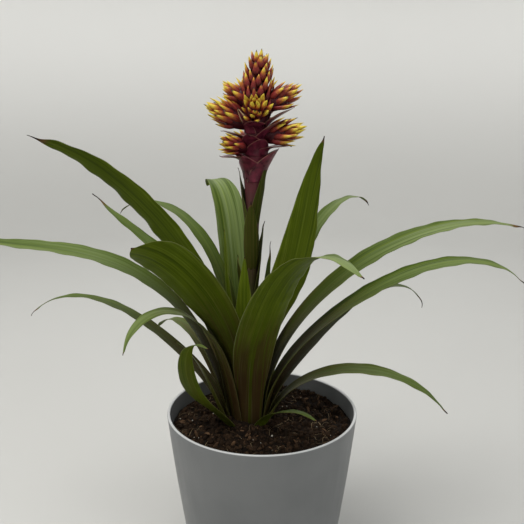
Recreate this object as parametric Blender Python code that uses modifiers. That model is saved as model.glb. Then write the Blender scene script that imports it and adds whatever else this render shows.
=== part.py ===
"""Potted bromeliad: a rosette of channelled strap leaves round one flower stalk, in a plain tapered pot.

Metres, +Z up. The origin is the middle of the pot's underside and the front of the plant faces -Y.
"""
import math

import bmesh
import bpy
import numpy as np
from mathutils import Matrix, Vector

# ---------------------------------------------------------------- driving dimensions (metres, degrees)
POT_HEIGHT = 0.170
RIM_RADIUS = 0.095
POT_WALL = 0.003
POT_FLOOR = 0.004
RIM_ROUND = 0.0012
RIM_SOFTEN = 0.0004
FOOT_ROUND = 0.005
INNER_FOOT_ROUND = 0.004
TAPER_LINEAR = 0.10
TAPER_CURVE = 0.20
WALL_HEIGHTS = (0.025, 0.060, 0.100, 0.140)

SOIL_DROP = 0.016
SOIL_MOUND = 0.0015
SOIL_SHOULDER = 0.001
GAP = 0.0003

PLANT_X = -0.013
PLANT_Y = 0.010
CROWN_RADIUS = 0.0262
CROWN_HEIGHT = 0.034
CROWN_CHAMFER = 0.001
CROWN_WAIST = (0.017, 0.005)
CROWN_FOOT_RADIUS = 0.011
CROWN_STRAIGHT = 0.020
PIT_DEPTH = 0.006
PIT_MOUTH_RADIUS = 0.032
PIT_MOUTH_RISE = 0.004

RING_FIRST = 0.0088
RING_STEP = 0.0016
LEAF_THICKNESS = 0.0009
LEAF_LIFT = 0.0009
SHEATH_FIRST = 0.066
SHEATH_STEP = 0.0085
SHEATH_LEAST = 0.003
FOOT_STEEP = 87.0
FOOT_LEAN = 0.25
CHANNEL_RADIUS = 0.045
POINT_POWER = 0.95
POINT_HALF_WIDTH = 0.0004
FOOT_FLARE = 0.12
FOOT_FLARE_END = 0.25
CONE_REACH = 1.3
CONE_TO_CHANNEL = 0.030
TWIST_BEGINS = 0.25
TWIST_TAKES = 0.35
SWEEP_POWER = 1.5

STALK_LEAN = 0.0107
STALK_LEAN_POWER = 1.7
STALK_HEIGHT = 0.366
STALK_SIDES = 16
BRACT_THICKNESS = 0.0008
BRACT_SHEATH = 0.25
BRACT_TAPER = 2.4
BRACT_WRAP = 100.0
BRACT_CHANNEL = 0.020

GOLDEN_ANGLE = 137.508
CORE_REACH = 0.88
CORE_RADIUS = 0.84
CORE_SIDES = 10
LAST_BUD = 0.66
LAST_LEAN = 0.10
BUD_OFFSET = 0.30
BUD_LENGTH = 0.44
BUD_SHORTENS = 0.08
BUD_RADIUS = 0.27
BUD_SIDES = 6

SOIL_Z = POT_HEIGHT - SOIL_DROP
CROWN_TOP = SOIL_Z - PIT_DEPTH
LEAF_Z = CROWN_TOP + LEAF_LIFT

# name, ring, azimuth, sweep, length, width, taper, roll, then how steeply the blade climbs at one third,
# at two thirds and at its tip, and how many degrees each half of it may wrap round the plant. ring: how
# far out the leaf's sheath stands, 0 is against the stalk. azimuth: 0 is right, 90 back, 180 left, 270 front.
LEAVES = [
    ("leaf_01", 0, 200, 0, 0.206, 0.034, 1.8, 0, 81, 88, 86, 80),
    ("leaf_02", 0, 30, 0, 0.190, 0.024, 2.0, 0, 83, 84, 82, 46),
    ("leaf_03", 1, 261, 0, 0.183, 0.036, 1.8, 0, 78, 91, 96, 66),
    ("leaf_04", 2, 103, 16, 0.297, 0.036, 9.0, 0, 66, 62, -55, 46),
    ("leaf_05", 2, 200, 2, 0.372, 0.034, 5.5, 38, 63, 47, 15, 46),
    ("leaf_06", 2, 324, -3, 0.306, 0.056, 2.2, -32, 70, 78, 66, 46),
    ("leaf_07", 4, 276, 25, 0.368, 0.043, 3.2, 0, 45, 37, -28, 42),
    ("leaf_08", 3, 44, 3, 0.321, 0.030, 2.6, 0, 61, 35, -43, 46),
    ("leaf_09", 1, 150, 9, 0.309, 0.024, 4.5, 0, 72, 35, -45, 40),
    ("leaf_10", 5, 208, 20, 0.228, 0.027, 2.8, -8, 66, 16, -83, 44),
    ("leaf_11", 4, 11, 4, 0.392, 0.031, 4.0, 12, 43, 15, -20, 46),
    ("leaf_12", 3, 234, 20, 0.303, 0.040, 12.0, 36, 57, 37, 13, 46),
    ("leaf_13", 5, 0, 3, 0.352, 0.029, 4.0, 10, 40, 16, -54, 46),
    ("leaf_14", 6, 163, 3, 0.286, 0.026, 2.6, -15, 69, 41, 46, 44),
    ("leaf_15", 6, 8, 7, 0.248, 0.027, 4.0, 0, 49, 28, -87, 46),
    ("leaf_16", 7, 177, 14, 0.366, 0.030, 5.0, -12, 54, 14, 23, 46),
    ("leaf_17", 7, 351, -7, 0.219, 0.025, 2.6, 8, 25, -11, -55, 46),
    ("leaf_18", 8, 163, 19, 0.270, 0.021, 3.0, 0, 41, 19, -57, 46),
    ("leaf_19", 8, 299, 9, 0.115, 0.014, 2.2, 0, 33, 20, -19, 46),
    ("leaf_20", 9, 204, 0, 0.116, 0.018, 2.2, 0, 69, 62, 34, 46),
    ("leaf_21", 10, 224, 95, 0.197, 0.020, 2.4, 0, 46, 55, -17, 46),
    ("leaf_22", 9, 84, 0, 0.230, 0.028, 2.6, 0, 45, 8, -45, 46),
    ("leaf_23", 10, 128, 0, 0.200, 0.026, 2.6, 0, 38, 0, -50, 46),
]

# name, height above the mix, azimuth, length, width, rise, tip angle, first radius
STALK_BRACTS = [
    ("stalk_bract_1", 0.100, 205, 0.075, 0.022, 87, 84, 0.0074),
    ("stalk_bract_2", 0.128, 20, 0.078, 0.022, 87, 84, 0.0074),
    ("stalk_bract_3", 0.166, 270, 0.062, 0.024, 87, 84, 0.0074),
    ("stalk_bract_4", 0.196, 170, 0.064, 0.024, 84, 78, 0.0076),
    ("stalk_bract_5", 0.208, 330, 0.058, 0.024, 82, 76, 0.0080),
]

# height above the mix, radius: the stalk swells under the flower head and thins through it
STALK_PROFILE = [
    (-0.0057, 0.0062),
    (0.0400, 0.0062),
    (0.1000, 0.0062),
    (0.1600, 0.0060),
    (0.2080, 0.0062),
    (0.2300, 0.0076),
    (0.2500, 0.0100),
    (0.2620, 0.0115),
    (0.2740, 0.0112),
    (0.2900, 0.0095),
    (0.3080, 0.0078),
    (0.3240, 0.0064),
]

# name, height above the mix, azimuth, elevation, reach from the stalk axis, spread radius, how far
# out the buds begin, how far the first bud leans out, buds
CLUSTERS = [
    ("flower_cluster_1", 0.3110, 270, 89, 0.0560, 0.0140, 0.22, 0.36, 20),
    ("flower_cluster_2", 0.3105, 170, 35, 0.0390, 0.0105, 0.42, 0.50, 10),
    ("flower_cluster_3", 0.3090, 356, 28, 0.0460, 0.0135, 0.28, 0.60, 10),
    ("flower_cluster_4", 0.2910, 191, 26, 0.0520, 0.0124, 0.32, 0.50, 10),
    ("flower_cluster_5", 0.3030, 268, 28, 0.0360, 0.0140, 0.28, 0.60, 10),
    ("flower_cluster_6", 0.2830, 342, 14, 0.0490, 0.0130, 0.28, 0.60, 10),
    ("flower_cluster_7", 0.2730, 212, 15, 0.0400, 0.0105, 0.28, 0.50, 9),
    ("flower_cluster_8", 0.3000, 75, 28, 0.0400, 0.0130, 0.28, 0.60, 10),
    ("flower_cluster_9", 0.2740, 105, 12, 0.0420, 0.0130, 0.28, 0.60, 10),
]


# ---------------------------------------------------------------- scene, collections, materials
def clear_scene():
    """Empty the scene."""
    for obj in list(bpy.data.objects):
        bpy.data.objects.remove(obj, do_unlink=True)


def collection(name):
    """A new collection in the scene."""
    made = bpy.data.collections.new(name)
    bpy.context.scene.collection.children.link(made)
    return made


def material(name, colour, roughness):
    """A Principled material with one colour."""
    mat = bpy.data.materials.new(name)
    mat.use_nodes = True
    shader = mat.node_tree.nodes["Principled BSDF"]
    shader.inputs["Base Color"].default_value = (colour[0], colour[1], colour[2], 1.0)
    shader.inputs["Roughness"].default_value = roughness
    return mat


def add_mesh(name, bm, group, mat, smooth=True):
    """Turn a bmesh into a named object."""
    mesh = bpy.data.meshes.new(name)
    bm.to_mesh(mesh)
    bm.free()
    for face in mesh.polygons:
        face.use_smooth = smooth
    obj = bpy.data.objects.new(name, mesh)
    group.objects.link(obj)
    if mat is not None:
        mesh.materials.append(mat)
    return obj


def hide(obj):
    """Keep a cutter out of the finished part."""
    obj.hide_render = True
    obj.display_type = "WIRE"
    return obj


# ---------------------------------------------------------------- turned pieces
def turned(name, profile, group, mat, steps, x=0.0, y=0.0):
    """Spin a profile of (radius, height) points about the vertical through (x, y)."""
    bm = bmesh.new()
    verts = [bm.verts.new((radius, 0.0, height)) for radius, height in profile]
    for first, second in zip(verts[:-1], verts[1:]):
        bm.edges.new((first, second))
    obj = add_mesh(name, bm, group, mat)
    screw = obj.modifiers.new("turn", "SCREW")
    screw.axis = "Z"
    screw.angle = 2.0 * math.pi
    screw.steps = steps
    screw.render_steps = steps
    screw.use_merge_vertices = True
    screw.merge_threshold = 0.00001
    screw.use_smooth_shade = True
    obj.location = (x, y, 0.0)
    return obj


def pot_radius(z):
    """Outer radius of the pot at height z: a cone that draws in a little faster towards the foot."""
    below = POT_HEIGHT - z
    return RIM_RADIUS - TAPER_LINEAR * below - TAPER_CURVE * below * below


def pot_profile():
    """Outer side, rounded foot, flat underside, then the inside back up to the rim."""
    points = [(0.0, POT_FLOOR)]
    inner_foot = pot_radius(POT_FLOOR) - POT_WALL
    points.append((inner_foot - INNER_FOOT_ROUND, POT_FLOOR))
    points.append((inner_foot, POT_FLOOR + INNER_FOOT_ROUND))
    for z in WALL_HEIGHTS:
        points.append((pot_radius(z) - POT_WALL, z))
    points.append((RIM_RADIUS - POT_WALL, POT_HEIGHT - RIM_ROUND))
    points.append((RIM_RADIUS - POT_WALL + RIM_SOFTEN, POT_HEIGHT - RIM_SOFTEN))
    points.append((RIM_RADIUS - POT_WALL + RIM_ROUND, POT_HEIGHT))
    points.append((RIM_RADIUS - RIM_ROUND, POT_HEIGHT))
    points.append((RIM_RADIUS - RIM_SOFTEN, POT_HEIGHT - RIM_SOFTEN))
    points.append((RIM_RADIUS, POT_HEIGHT - RIM_ROUND))
    for z in WALL_HEIGHTS[::-1]:
        points.append((pot_radius(z), z))
    foot = pot_radius(FOOT_ROUND)
    points.append((foot, FOOT_ROUND))
    for k in (1, 2, 3):
        angle = math.radians(30.0 * k)
        dx = FOOT_ROUND * (1.0 - math.cos(angle))
        dz = FOOT_ROUND * (1.0 - math.sin(angle))
        points.append((foot - dx, dz))
    points.append((0.0, 0.0))
    return points


def mix_profile():
    """The potting mix: filled to the pot's inside less a small gap, with a gently mounded top."""
    floor = POT_FLOOR + GAP
    foot = pot_radius(POT_FLOOR) - POT_WALL
    points = [(0.0, floor), (foot - INNER_FOOT_ROUND - 2.0 * GAP, floor)]
    points.append((foot - 2.0 * GAP, floor + INNER_FOOT_ROUND))
    for z in WALL_HEIGHTS:
        points.append((pot_radius(z) - POT_WALL - GAP, z))
    edge = pot_radius(SOIL_Z) - POT_WALL - GAP
    points.append((edge, SOIL_Z - SOIL_SHOULDER))
    for k in range(1, 8):
        share = k / 8.0
        radius = edge * (1.0 - share)
        points.append((radius, SOIL_Z + SOIL_MOUND * math.sin(math.pi * share)))
    points.append((0.0, SOIL_Z))
    return points[::-1]


def crown_profile(grow):
    """The stub of stem the leaves stand on, sunk in the mix."""
    bottom = CROWN_TOP - CROWN_HEIGHT
    waist_radius, waist_rise = CROWN_WAIST
    return [
        (0.0, CROWN_TOP),
        (CROWN_RADIUS - CROWN_CHAMFER + grow, CROWN_TOP),
        (CROWN_RADIUS + grow, CROWN_TOP - CROWN_CHAMFER),
        (CROWN_RADIUS + grow, bottom + CROWN_STRAIGHT),
        (waist_radius + grow, bottom + waist_rise),
        (CROWN_FOOT_RADIUS, bottom - grow),
        (0.0, bottom - grow),
    ]


def pit_profile():
    """What is taken out of the mix: the crown's room below and an open flare above it."""
    room = crown_profile(GAP)[2:]
    mouth = SOIL_Z + PIT_MOUTH_RISE
    return [(0.0, mouth), (PIT_MOUTH_RADIUS, mouth)] + room


# ---------------------------------------------------------------- leaves
def smooth_step(value):
    """0 below 0, 1 above 1, an S between."""
    value = np.clip(value, 0.0, 1.0)
    return value * value * (3.0 - 2.0 * value)


def midrib(start, azimuth, sweep, length, sheath, climb):
    """Walk up the middle of a leaf: straight up the sheath, then a cubic through the climb angles."""
    walked = np.linspace(0.0, 1.0, 241)
    straight = sheath / length
    t = np.clip((walked - straight) / (1.0 - straight), 0.0, 1.0)
    foot, third, two_thirds, tip = climb
    angle = foot * (1.0 - 3.0 * t) * (1.0 - 1.5 * t) * (1.0 - t)
    angle = angle + third * 9.0 * t * (1.0 - 1.5 * t) * (1.0 - t)
    angle = angle - two_thirds * 4.5 * t * (1.0 - 3.0 * t) * (1.0 - t)
    angle = angle + tip * t * (1.0 - 3.0 * t) * (1.0 - 1.5 * t)
    elevation = np.radians(angle)
    heading = np.radians(azimuth + sweep * t ** SWEEP_POWER)
    step = np.stack([np.cos(elevation) * np.cos(heading), np.cos(elevation) * np.sin(heading),
                     np.sin(elevation)], axis=1)
    walk = (step[1:] + step[:-1]) * 0.5 * length / 240.0
    points = np.vstack([np.zeros(3), np.cumsum(walk, axis=0)]) + np.array(start)
    return walked, points, elevation, heading


def strap(across, along, start, axis, azimuth, sweep, length, sheath, width, taper, roll, climb,
          wrap, channel):
    """Points of a strap leaf. across runs -1..1 over the width, along runs 0..1 up the leaf.

    Near its foot each cross-section is an arc about the plant's own axis, so the sheaths nest like
    cones; further up the arc opens to a shallow channel square to the midrib.
    """
    t, line, elevation, heading = midrib(start, azimuth, sweep, length, sheath, climb)
    mid = np.stack([np.interp(along, t, line[:, k]) for k in range(3)], axis=-1)
    e = np.interp(along, t, elevation)
    h = np.interp(along, t, heading)
    reach = np.hypot(mid[..., 0] - axis[0], mid[..., 1] - axis[1])
    radius = (reach ** -4.0 + channel ** -4.0) ** -0.25
    half = 0.5 * width * np.clip(1.0 - along ** taper, 0.0, 1.0) ** POINT_POWER
    flare = FOOT_FLARE * (1.0 - smooth_step(along / FOOT_FLARE_END))
    half = half * (1.0 + flare) + POINT_HALF_WIDTH
    half = (half ** -4.0 + (radius * math.radians(wrap)) ** -4.0) ** -0.25
    turn = smooth_step((reach - CONE_REACH * reach.min()) / CONE_TO_CHANNEL)
    level = e * turn + 0.5 * math.pi * (1.0 - turn)
    side = np.stack([-np.sin(h), np.cos(h), np.zeros_like(h)], axis=-1)
    inward = np.stack([-np.sin(level) * np.cos(h), -np.sin(level) * np.sin(h), np.cos(level)], axis=-1)
    twist = (np.radians(roll) * smooth_step((along - TWIST_BEGINS) / TWIST_TAKES))[..., None]
    side, inward = (side * np.cos(twist) + inward * np.sin(twist),
                    inward * np.cos(twist) - side * np.sin(twist))
    angle = across * half / radius
    lateral = (radius * np.sin(angle))[..., None]
    lift = (radius * (1.0 - np.cos(angle)))[..., None]
    return mid + lateral * side + lift * inward


def strap_object(name, group, mat, columns, rows, thickness, **shape):
    """A grid bent into a strap leaf and given its thickness."""
    bm = bmesh.new()
    bmesh.ops.create_grid(bm, x_segments=columns, y_segments=rows, size=0.5)
    across = np.array([2.0 * v.co.x for v in bm.verts])
    along = np.array([v.co.y + 0.5 for v in bm.verts])
    places = strap(across, along, **shape)
    for vert, place in zip(bm.verts, places):
        vert.co = place
    obj = add_mesh(name, bm, group, mat)
    solid = obj.modifiers.new("thickness", "SOLIDIFY")
    solid.thickness = thickness
    solid.offset = 0.0
    return obj


def leaf_shape(row):
    """The strap description of one leaf of the rosette."""
    name, ring, azimuth, sweep, length, width, taper, roll, third, two_thirds, tip, wrap = row
    foot = RING_FIRST + RING_STEP * ring
    steep = FOOT_STEEP - FOOT_LEAN * ring * ring
    sheath = max(SHEATH_LEAST, SHEATH_FIRST - SHEATH_STEP * ring)
    angle = math.radians(azimuth)
    start = (PLANT_X + foot * math.cos(angle), PLANT_Y + foot * math.sin(angle), LEAF_Z)
    return dict(start=start, axis=(PLANT_X, PLANT_Y), azimuth=azimuth, sweep=sweep, length=length,
                sheath=sheath, width=width, taper=taper, roll=roll,
                climb=(steep, third, two_thirds, tip),
                wrap=wrap, channel=CHANNEL_RADIUS)


# ---------------------------------------------------------------- stalk and flower head
def stalk_axis(height):
    """Where the stalk's middle is at a height above the mix: it leans over to the right."""
    share = max(height, 0.0) / STALK_HEIGHT
    return (PLANT_X + STALK_LEAN * share ** STALK_LEAN_POWER, PLANT_Y, SOIL_Z + height)


def stalk_tube(name, grow, group, mat, sides):
    """A round tube through the stalk's stations, capped at both ends."""
    count = len(STALK_PROFILE)
    bm = bmesh.new()
    bmesh.ops.create_grid(bm, x_segments=sides, y_segments=count - 1, size=0.5)
    for vert in bm.verts:
        angle = (vert.co.x + 0.5) * 2.0 * math.pi
        height, radius = STALK_PROFILE[int(round((vert.co.y + 0.5) * (count - 1)))]
        x, y, z = stalk_axis(height)
        radius = radius + grow
        vert.co = (x + radius * math.cos(angle), y + radius * math.sin(angle), z)
    bmesh.ops.remove_doubles(bm, verts=bm.verts, dist=0.00001)
    bmesh.ops.holes_fill(bm, edges=[e for e in bm.edges if e.is_boundary], sides=0)
    bmesh.ops.recalc_face_normals(bm, faces=bm.faces)
    return add_mesh(name, bm, group, mat)


def bract_shape(row):
    """A small strap leaf wrapped round the stalk."""
    name, height, azimuth, length, width, rise, tip, foot = row
    x, y, z = stalk_axis(height)
    angle = math.radians(azimuth)
    start = (x + foot * math.cos(angle), y + foot * math.sin(angle), z)
    middle = 0.5 * (rise + tip)
    return dict(start=start, axis=(x, y), azimuth=azimuth, sweep=0.0, length=length,
                sheath=BRACT_SHEATH * length, width=width, taper=BRACT_TAPER, roll=0.0,
                climb=(rise, middle, middle, tip), wrap=BRACT_WRAP, channel=BRACT_CHANNEL)


def spindle(bm, foot, direction, length, radius, sides):
    """A pointed bud: two cones base to base, which is a sphere of two segments drawn out."""
    direction = Vector(direction).normalized()
    helper = Vector((0.0, 0.0, 1.0)) if abs(direction.z) < 0.9 else Vector((1.0, 0.0, 0.0))
    first = direction.cross(helper).normalized()
    turn = Matrix((first, direction.cross(first), direction)).transposed().to_4x4()
    place = Matrix.Translation(Vector(foot) + direction * length * 0.5)
    size = Matrix.Diagonal((radius, radius, length * 0.5, 1.0))
    bmesh.ops.create_uvsphere(bm, u_segments=sides, v_segments=2, radius=1.0, matrix=place @ turn @ size)


def cluster_parts(row):
    """The core and the buds of one cluster as (foot, direction, length, radius) spindles."""
    name, height, azimuth, elevation, reach, spread, first, lean, buds = row
    a = math.radians(azimuth)
    e = math.radians(elevation)
    axis = np.array((math.cos(e) * math.cos(a), math.cos(e) * math.sin(a), math.sin(e)))
    up = np.array((-math.sin(e) * math.cos(a), -math.sin(e) * math.sin(a), math.cos(e)))
    side = np.cross(axis, up)
    foot = np.array(stalk_axis(height))
    parts = [(foot, axis, reach * CORE_REACH, spread * CORE_RADIUS, CORE_SIDES)]
    for k in range(buds):
        turn = math.radians(GOLDEN_ANGLE) * k
        share = (k + 0.5) / buds
        radial = math.cos(turn) * up + math.sin(turn) * side
        start = foot + axis * reach * (first + (LAST_BUD - first) * share)
        start = start + radial * spread * BUD_OFFSET * (1.0 - share)
        aim = axis + radial * (lean + (LAST_LEAN - lean) * share)
        bud_length = reach * (BUD_LENGTH - BUD_SHORTENS * share)
        parts.append((start, aim, bud_length, spread * BUD_RADIUS, BUD_SIDES))
    return parts


def build():
    """Make every piece of the potted plant."""
    clear_scene()
    plant = collection("potted_bromeliad")
    cutters = collection("cutters")
    grey = material("pot_plastic", (0.33, 0.34, 0.36), 0.45)
    brown = material("potting_mix", (0.035, 0.018, 0.010), 0.95)
    stem_brown = material("crown_stem", (0.10, 0.08, 0.04), 0.8)
    green = material("leaf_green", (0.06, 0.13, 0.02), 0.45)
    stalk_green = material("stalk_green", (0.05, 0.05, 0.02), 0.5)
    bract_green = material("bract_green", (0.05, 0.08, 0.02), 0.5)
    flower_red = material("flower_red", (0.35, 0.09, 0.03), 0.5)

    turned("pot", pot_profile(), plant, grey, 56)
    mix = turned("potting_mix", mix_profile(), plant, brown, 48)
    pit = hide(turned("pit_cutter", pit_profile(), cutters, None, 36, PLANT_X, PLANT_Y))
    cut = mix.modifiers.new("pit", "BOOLEAN")
    cut.operation = "DIFFERENCE"
    cut.solver = "EXACT"
    cut.object = pit
    turned("crown", crown_profile(0.0), plant, stem_brown, 36, PLANT_X, PLANT_Y)

    for row in LEAVES:
        strap_object(row[0], plant, green, 4, 16, LEAF_THICKNESS, **leaf_shape(row))
    for row in STALK_BRACTS:
        strap_object(row[0], plant, bract_green, 6, 8, BRACT_THICKNESS, **bract_shape(row))

    stalk_tube("flower_stalk", 0.0, plant, stalk_green, STALK_SIDES)
    bore = hide(stalk_tube("stalk_cutter", GAP, cutters, None, STALK_SIDES))

    for row in CLUSTERS:
        parts = cluster_parts(row)
        core = bmesh.new()
        spindle(core, *parts[0])
        bmesh.ops.recalc_face_normals(core, faces=core.faces)
        obj = add_mesh(row[0], core, plant, flower_red, smooth=False)
        for k, part in enumerate(parts[1:]):
            bud = bmesh.new()
            spindle(bud, *part)
            bmesh.ops.recalc_face_normals(bud, faces=bud.faces)
            cutter = hide(add_mesh(f"{row[0]}_bud_{k + 1}", bud, cutters, None, smooth=False))
            join = obj.modifiers.new(f"bud_{k + 1}", "BOOLEAN")
            join.operation = "UNION"
            join.solver = "EXACT"
            join.object = cutter
        trim = obj.modifiers.new("stalk", "BOOLEAN")
        trim.operation = "DIFFERENCE"
        trim.solver = "EXACT"
        trim.object = bore


build()
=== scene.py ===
# %% [markdown]
# # A potted bromeliad
# This lesson dresses a measured model of a bromeliad: a rosette of strap leaves round one flower
# stalk, in a plain tapered pot. The measured solids are loaded first and never moved. Every new
# piece is worked out from the same dimensions, in metres, with +Z up and the plant's front facing -Y.

# %% Load the measured frame
import math
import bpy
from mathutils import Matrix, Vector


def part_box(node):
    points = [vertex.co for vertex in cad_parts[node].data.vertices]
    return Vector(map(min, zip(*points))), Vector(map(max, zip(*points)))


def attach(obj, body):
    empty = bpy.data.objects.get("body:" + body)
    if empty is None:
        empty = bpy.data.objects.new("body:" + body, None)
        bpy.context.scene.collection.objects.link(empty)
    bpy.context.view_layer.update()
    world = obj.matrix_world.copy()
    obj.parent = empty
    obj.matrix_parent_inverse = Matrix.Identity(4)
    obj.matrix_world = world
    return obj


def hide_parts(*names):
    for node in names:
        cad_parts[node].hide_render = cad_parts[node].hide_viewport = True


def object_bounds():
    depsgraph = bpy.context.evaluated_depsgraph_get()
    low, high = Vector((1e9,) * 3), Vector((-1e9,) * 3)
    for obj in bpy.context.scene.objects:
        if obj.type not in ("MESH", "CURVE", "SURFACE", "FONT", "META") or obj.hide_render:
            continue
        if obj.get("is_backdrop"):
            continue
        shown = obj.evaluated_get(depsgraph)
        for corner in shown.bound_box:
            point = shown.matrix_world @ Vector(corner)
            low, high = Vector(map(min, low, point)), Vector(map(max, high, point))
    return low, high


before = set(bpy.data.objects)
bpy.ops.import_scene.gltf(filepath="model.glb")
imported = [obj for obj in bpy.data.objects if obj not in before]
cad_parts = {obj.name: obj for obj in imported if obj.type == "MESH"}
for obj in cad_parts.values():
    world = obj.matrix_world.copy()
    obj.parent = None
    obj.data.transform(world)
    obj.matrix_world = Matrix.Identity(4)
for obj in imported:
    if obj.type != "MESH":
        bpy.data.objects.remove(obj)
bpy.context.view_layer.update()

from types import SimpleNamespace

import bpy
import numpy as np

# %% [markdown]
# ## Camera
# The plant is looked at from a little above the top of its leaves, so the lens is pitched down by
# about fourteen degrees. A wide lens close by would swell the nearest leaves, and a long one far off
# would flatten the rosette, so it is a 50 mm lens on a 36 mm sensor, as for a tabletop portrait.

# %% Camera
CAMERA_PLACE = (0.0, -0.67494, 0.49706)
CAMERA_PITCH = 14.49

lens = bpy.data.cameras.new("lens")
lens.lens = 50.0
lens.sensor_width = 36.0
camera = bpy.data.objects.new("camera", lens)
bpy.context.scene.collection.objects.link(camera)
camera.location = CAMERA_PLACE
camera.rotation_euler = (math.radians(90.0 - CAMERA_PITCH), 0.0, 0.0)
bpy.context.scene.camera = camera
print("camera", CAMERA_PLACE, "pitched down", CAMERA_PITCH)

# %% [markdown]
# ## From arrays to meshes
# Each piece could be modelled by hand, or built from Blender's own primitives and modifiers. Here it
# is a grid of points computed as whole numpy arrays, because a plant's pieces are all one shape with
# other numbers. A closed strip is a ring of points repeated along a line, so one helper joins the
# rings with four-sided faces and another puts the arrays in a mesh. Values that a finish needs, such
# as how far a point is up its leaf, travel with the points as attributes.


# %% Faces of tubes
def circle(steps):
    """Angles once round, without the last, which would be the first again."""
    return np.linspace(0.0, 2.0 * math.pi, steps, endpoint=False)


def ring_faces(rows, columns, first=0):
    """Four-sided faces between rings: row r joins row r + 1, and the last column joins column 0."""
    r = np.arange(rows - 1)[:, None] * columns
    c = np.arange(columns)[None, :]
    after = (c + 1) % columns
    faces = np.stack([r + c, r + after, r + after + columns, r + c + columns], axis=-1)
    return faces.reshape(-1, 4) + first


def tube(rows, columns, first=0, flip=False):
    """Side faces of a tube of rings and the two caps that close it; flip turns all of them round."""
    ring = np.arange(columns)
    faces = ring_faces(rows, columns, first)
    caps = [ring[::-1] + first, ring + first + (rows - 1) * columns]
    if flip:
        faces, caps = faces[:, ::-1], [cap[::-1] for cap in caps]
    return faces, caps


def tubes(count, rows, columns, flip=False):
    """Side faces and caps of equal tubes that lie one after another in the points."""
    made = [tube(rows, columns, k * rows * columns, flip) for k in range(count)]
    return np.concatenate([faces for faces, _ in made]), [cap for _, caps in made for cap in caps]


print("a tube of 3 rings of 6 points has", len(tube(3, 6)[0]), "side faces and", len(tube(3, 6)[1]), "caps")


# %% Arrays into a mesh
def make_mesh(name, points, faces, caps=(), values=None, finish=None, smooth=True):
    """A mesh object from points, four-sided faces and many-sided caps, with values as attributes."""
    points = np.asarray(points, float).reshape(-1, 3)
    caps = [np.asarray(c) for c in caps]
    corners = np.concatenate([np.asarray(faces).ravel()] + caps).astype(np.int32)
    sizes = np.concatenate([np.full(len(faces), len(faces[0])), [len(c) for c in caps]]).astype(np.int32)
    mesh = bpy.data.meshes.new(name)
    mesh.vertices.add(len(points))
    mesh.loops.add(len(corners))
    mesh.polygons.add(len(sizes))
    mesh.vertices.foreach_set("co", points.astype(np.float32).ravel())
    mesh.loops.foreach_set("vertex_index", corners)
    mesh.polygons.foreach_set("loop_start", np.concatenate([[0], np.cumsum(sizes)[:-1]]).astype(np.int32))
    mesh.update(calc_edges=True)
    mesh.polygons.foreach_set("use_smooth", np.full(len(sizes), smooth))
    for key, value in (values or {}).items():
        layer = mesh.attributes.new(key, "FLOAT_VECTOR", "POINT")
        layer.data.foreach_set("vector", np.asarray(value, np.float32).reshape(-1, 3).ravel())
    made = bpy.data.objects.new(name, mesh)
    bpy.context.scene.collection.objects.link(made)
    if finish is not None:
        mesh.materials.append(finish)
    return made


# %% Small sums on arrays
LATTICE = 64


def smooth_step(value):
    """0 below 0, 1 above 1, and an S between."""
    value = np.clip(value, 0.0, 1.0)
    return value * value * (3.0 - 2.0 * value)


def unit(vectors):
    """Vectors scaled to length one."""
    return vectors / np.maximum(np.linalg.norm(vectors, axis=-1, keepdims=True), 1e-12)


def lumpy(x, y, cells, seed):
    """Soft bumps over a plane: random heights on a square lattice, blended with an S between corners."""
    lattice = np.random.default_rng(seed).random((LATTICE, LATTICE))
    x, y = x * cells, y * cells
    i, j = np.floor(x).astype(int), np.floor(y).astype(int)
    u, v = smooth_step(x - i), smooth_step(y - j)
    i, j, next_i, next_j = i % LATTICE, j % LATTICE, (i + 1) % LATTICE, (j + 1) % LATTICE
    near = lattice[i, j] * (1 - u) + lattice[next_i, j] * u
    far = lattice[i, next_j] * (1 - u) + lattice[next_i, next_j] * u
    return near * (1 - v) + far * v - 0.5


print("half way up an S is", smooth_step(0.5))


# %% [markdown]
# ## A small kit for finishes
# A finish is a Principled shader with a few nodes in front of it. The nodes could be wired by hand in
# the shader editor. These helpers each add one node and return its output instead, so a finish reads
# from top to bottom like a recipe and can be made again for another piece.


# %% Finish helpers
def new_finish(name, roughness):
    """A named Principled material: returns it with its node tree and shader."""
    made = bpy.data.materials.new(name)
    made.use_nodes = True
    shader = made.node_tree.nodes["Principled BSDF"]
    shader.inputs["Roughness"].default_value = roughness
    return made, made.node_tree, shader


def feed(tree, socket, value):
    """Put a number, a colour or another node's output into a socket."""
    if isinstance(value, bpy.types.NodeSocket):
        tree.links.new(value, socket)
    elif isinstance(value, (tuple, list)) and len(value) == 3 and socket.type == "RGBA":
        socket.default_value = (value[0], value[1], value[2], 1.0)
    else:
        socket.default_value = value


# %% Where a pattern is read
def carried(tree, name):
    """The three numbers that the mesh carries under a name."""
    node = tree.nodes.new("ShaderNodeAttribute")
    node.attribute_name = name
    split = tree.nodes.new("ShaderNodeSeparateXYZ")
    tree.links.new(node.outputs["Vector"], split.inputs[0])
    return split.outputs[0], split.outputs[1], split.outputs[2]


def placed(tree):
    """Object coordinates, in metres."""
    return tree.nodes.new("ShaderNodeTexCoord").outputs["Object"]


def height_of(tree):
    """Object coordinates' third number: the height above the floor."""
    split = tree.nodes.new("ShaderNodeSeparateXYZ")
    tree.links.new(placed(tree), split.inputs[0])
    return split.outputs[2]


# %% Numbers in nodes
def sums(tree, kind, a, b=0.0):
    """One sum, of a kind that the Math node knows by its name."""
    node = tree.nodes.new("ShaderNodeMath")
    node.operation = kind
    feed(tree, node.inputs[0], a)
    feed(tree, node.inputs[1], b)
    return node.outputs[0]


def plus(tree, a, b):
    """a + b."""
    return sums(tree, "ADD", a, b)


def times(tree, a, b):
    """a times b."""
    return sums(tree, "MULTIPLY", a, b)


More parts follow.
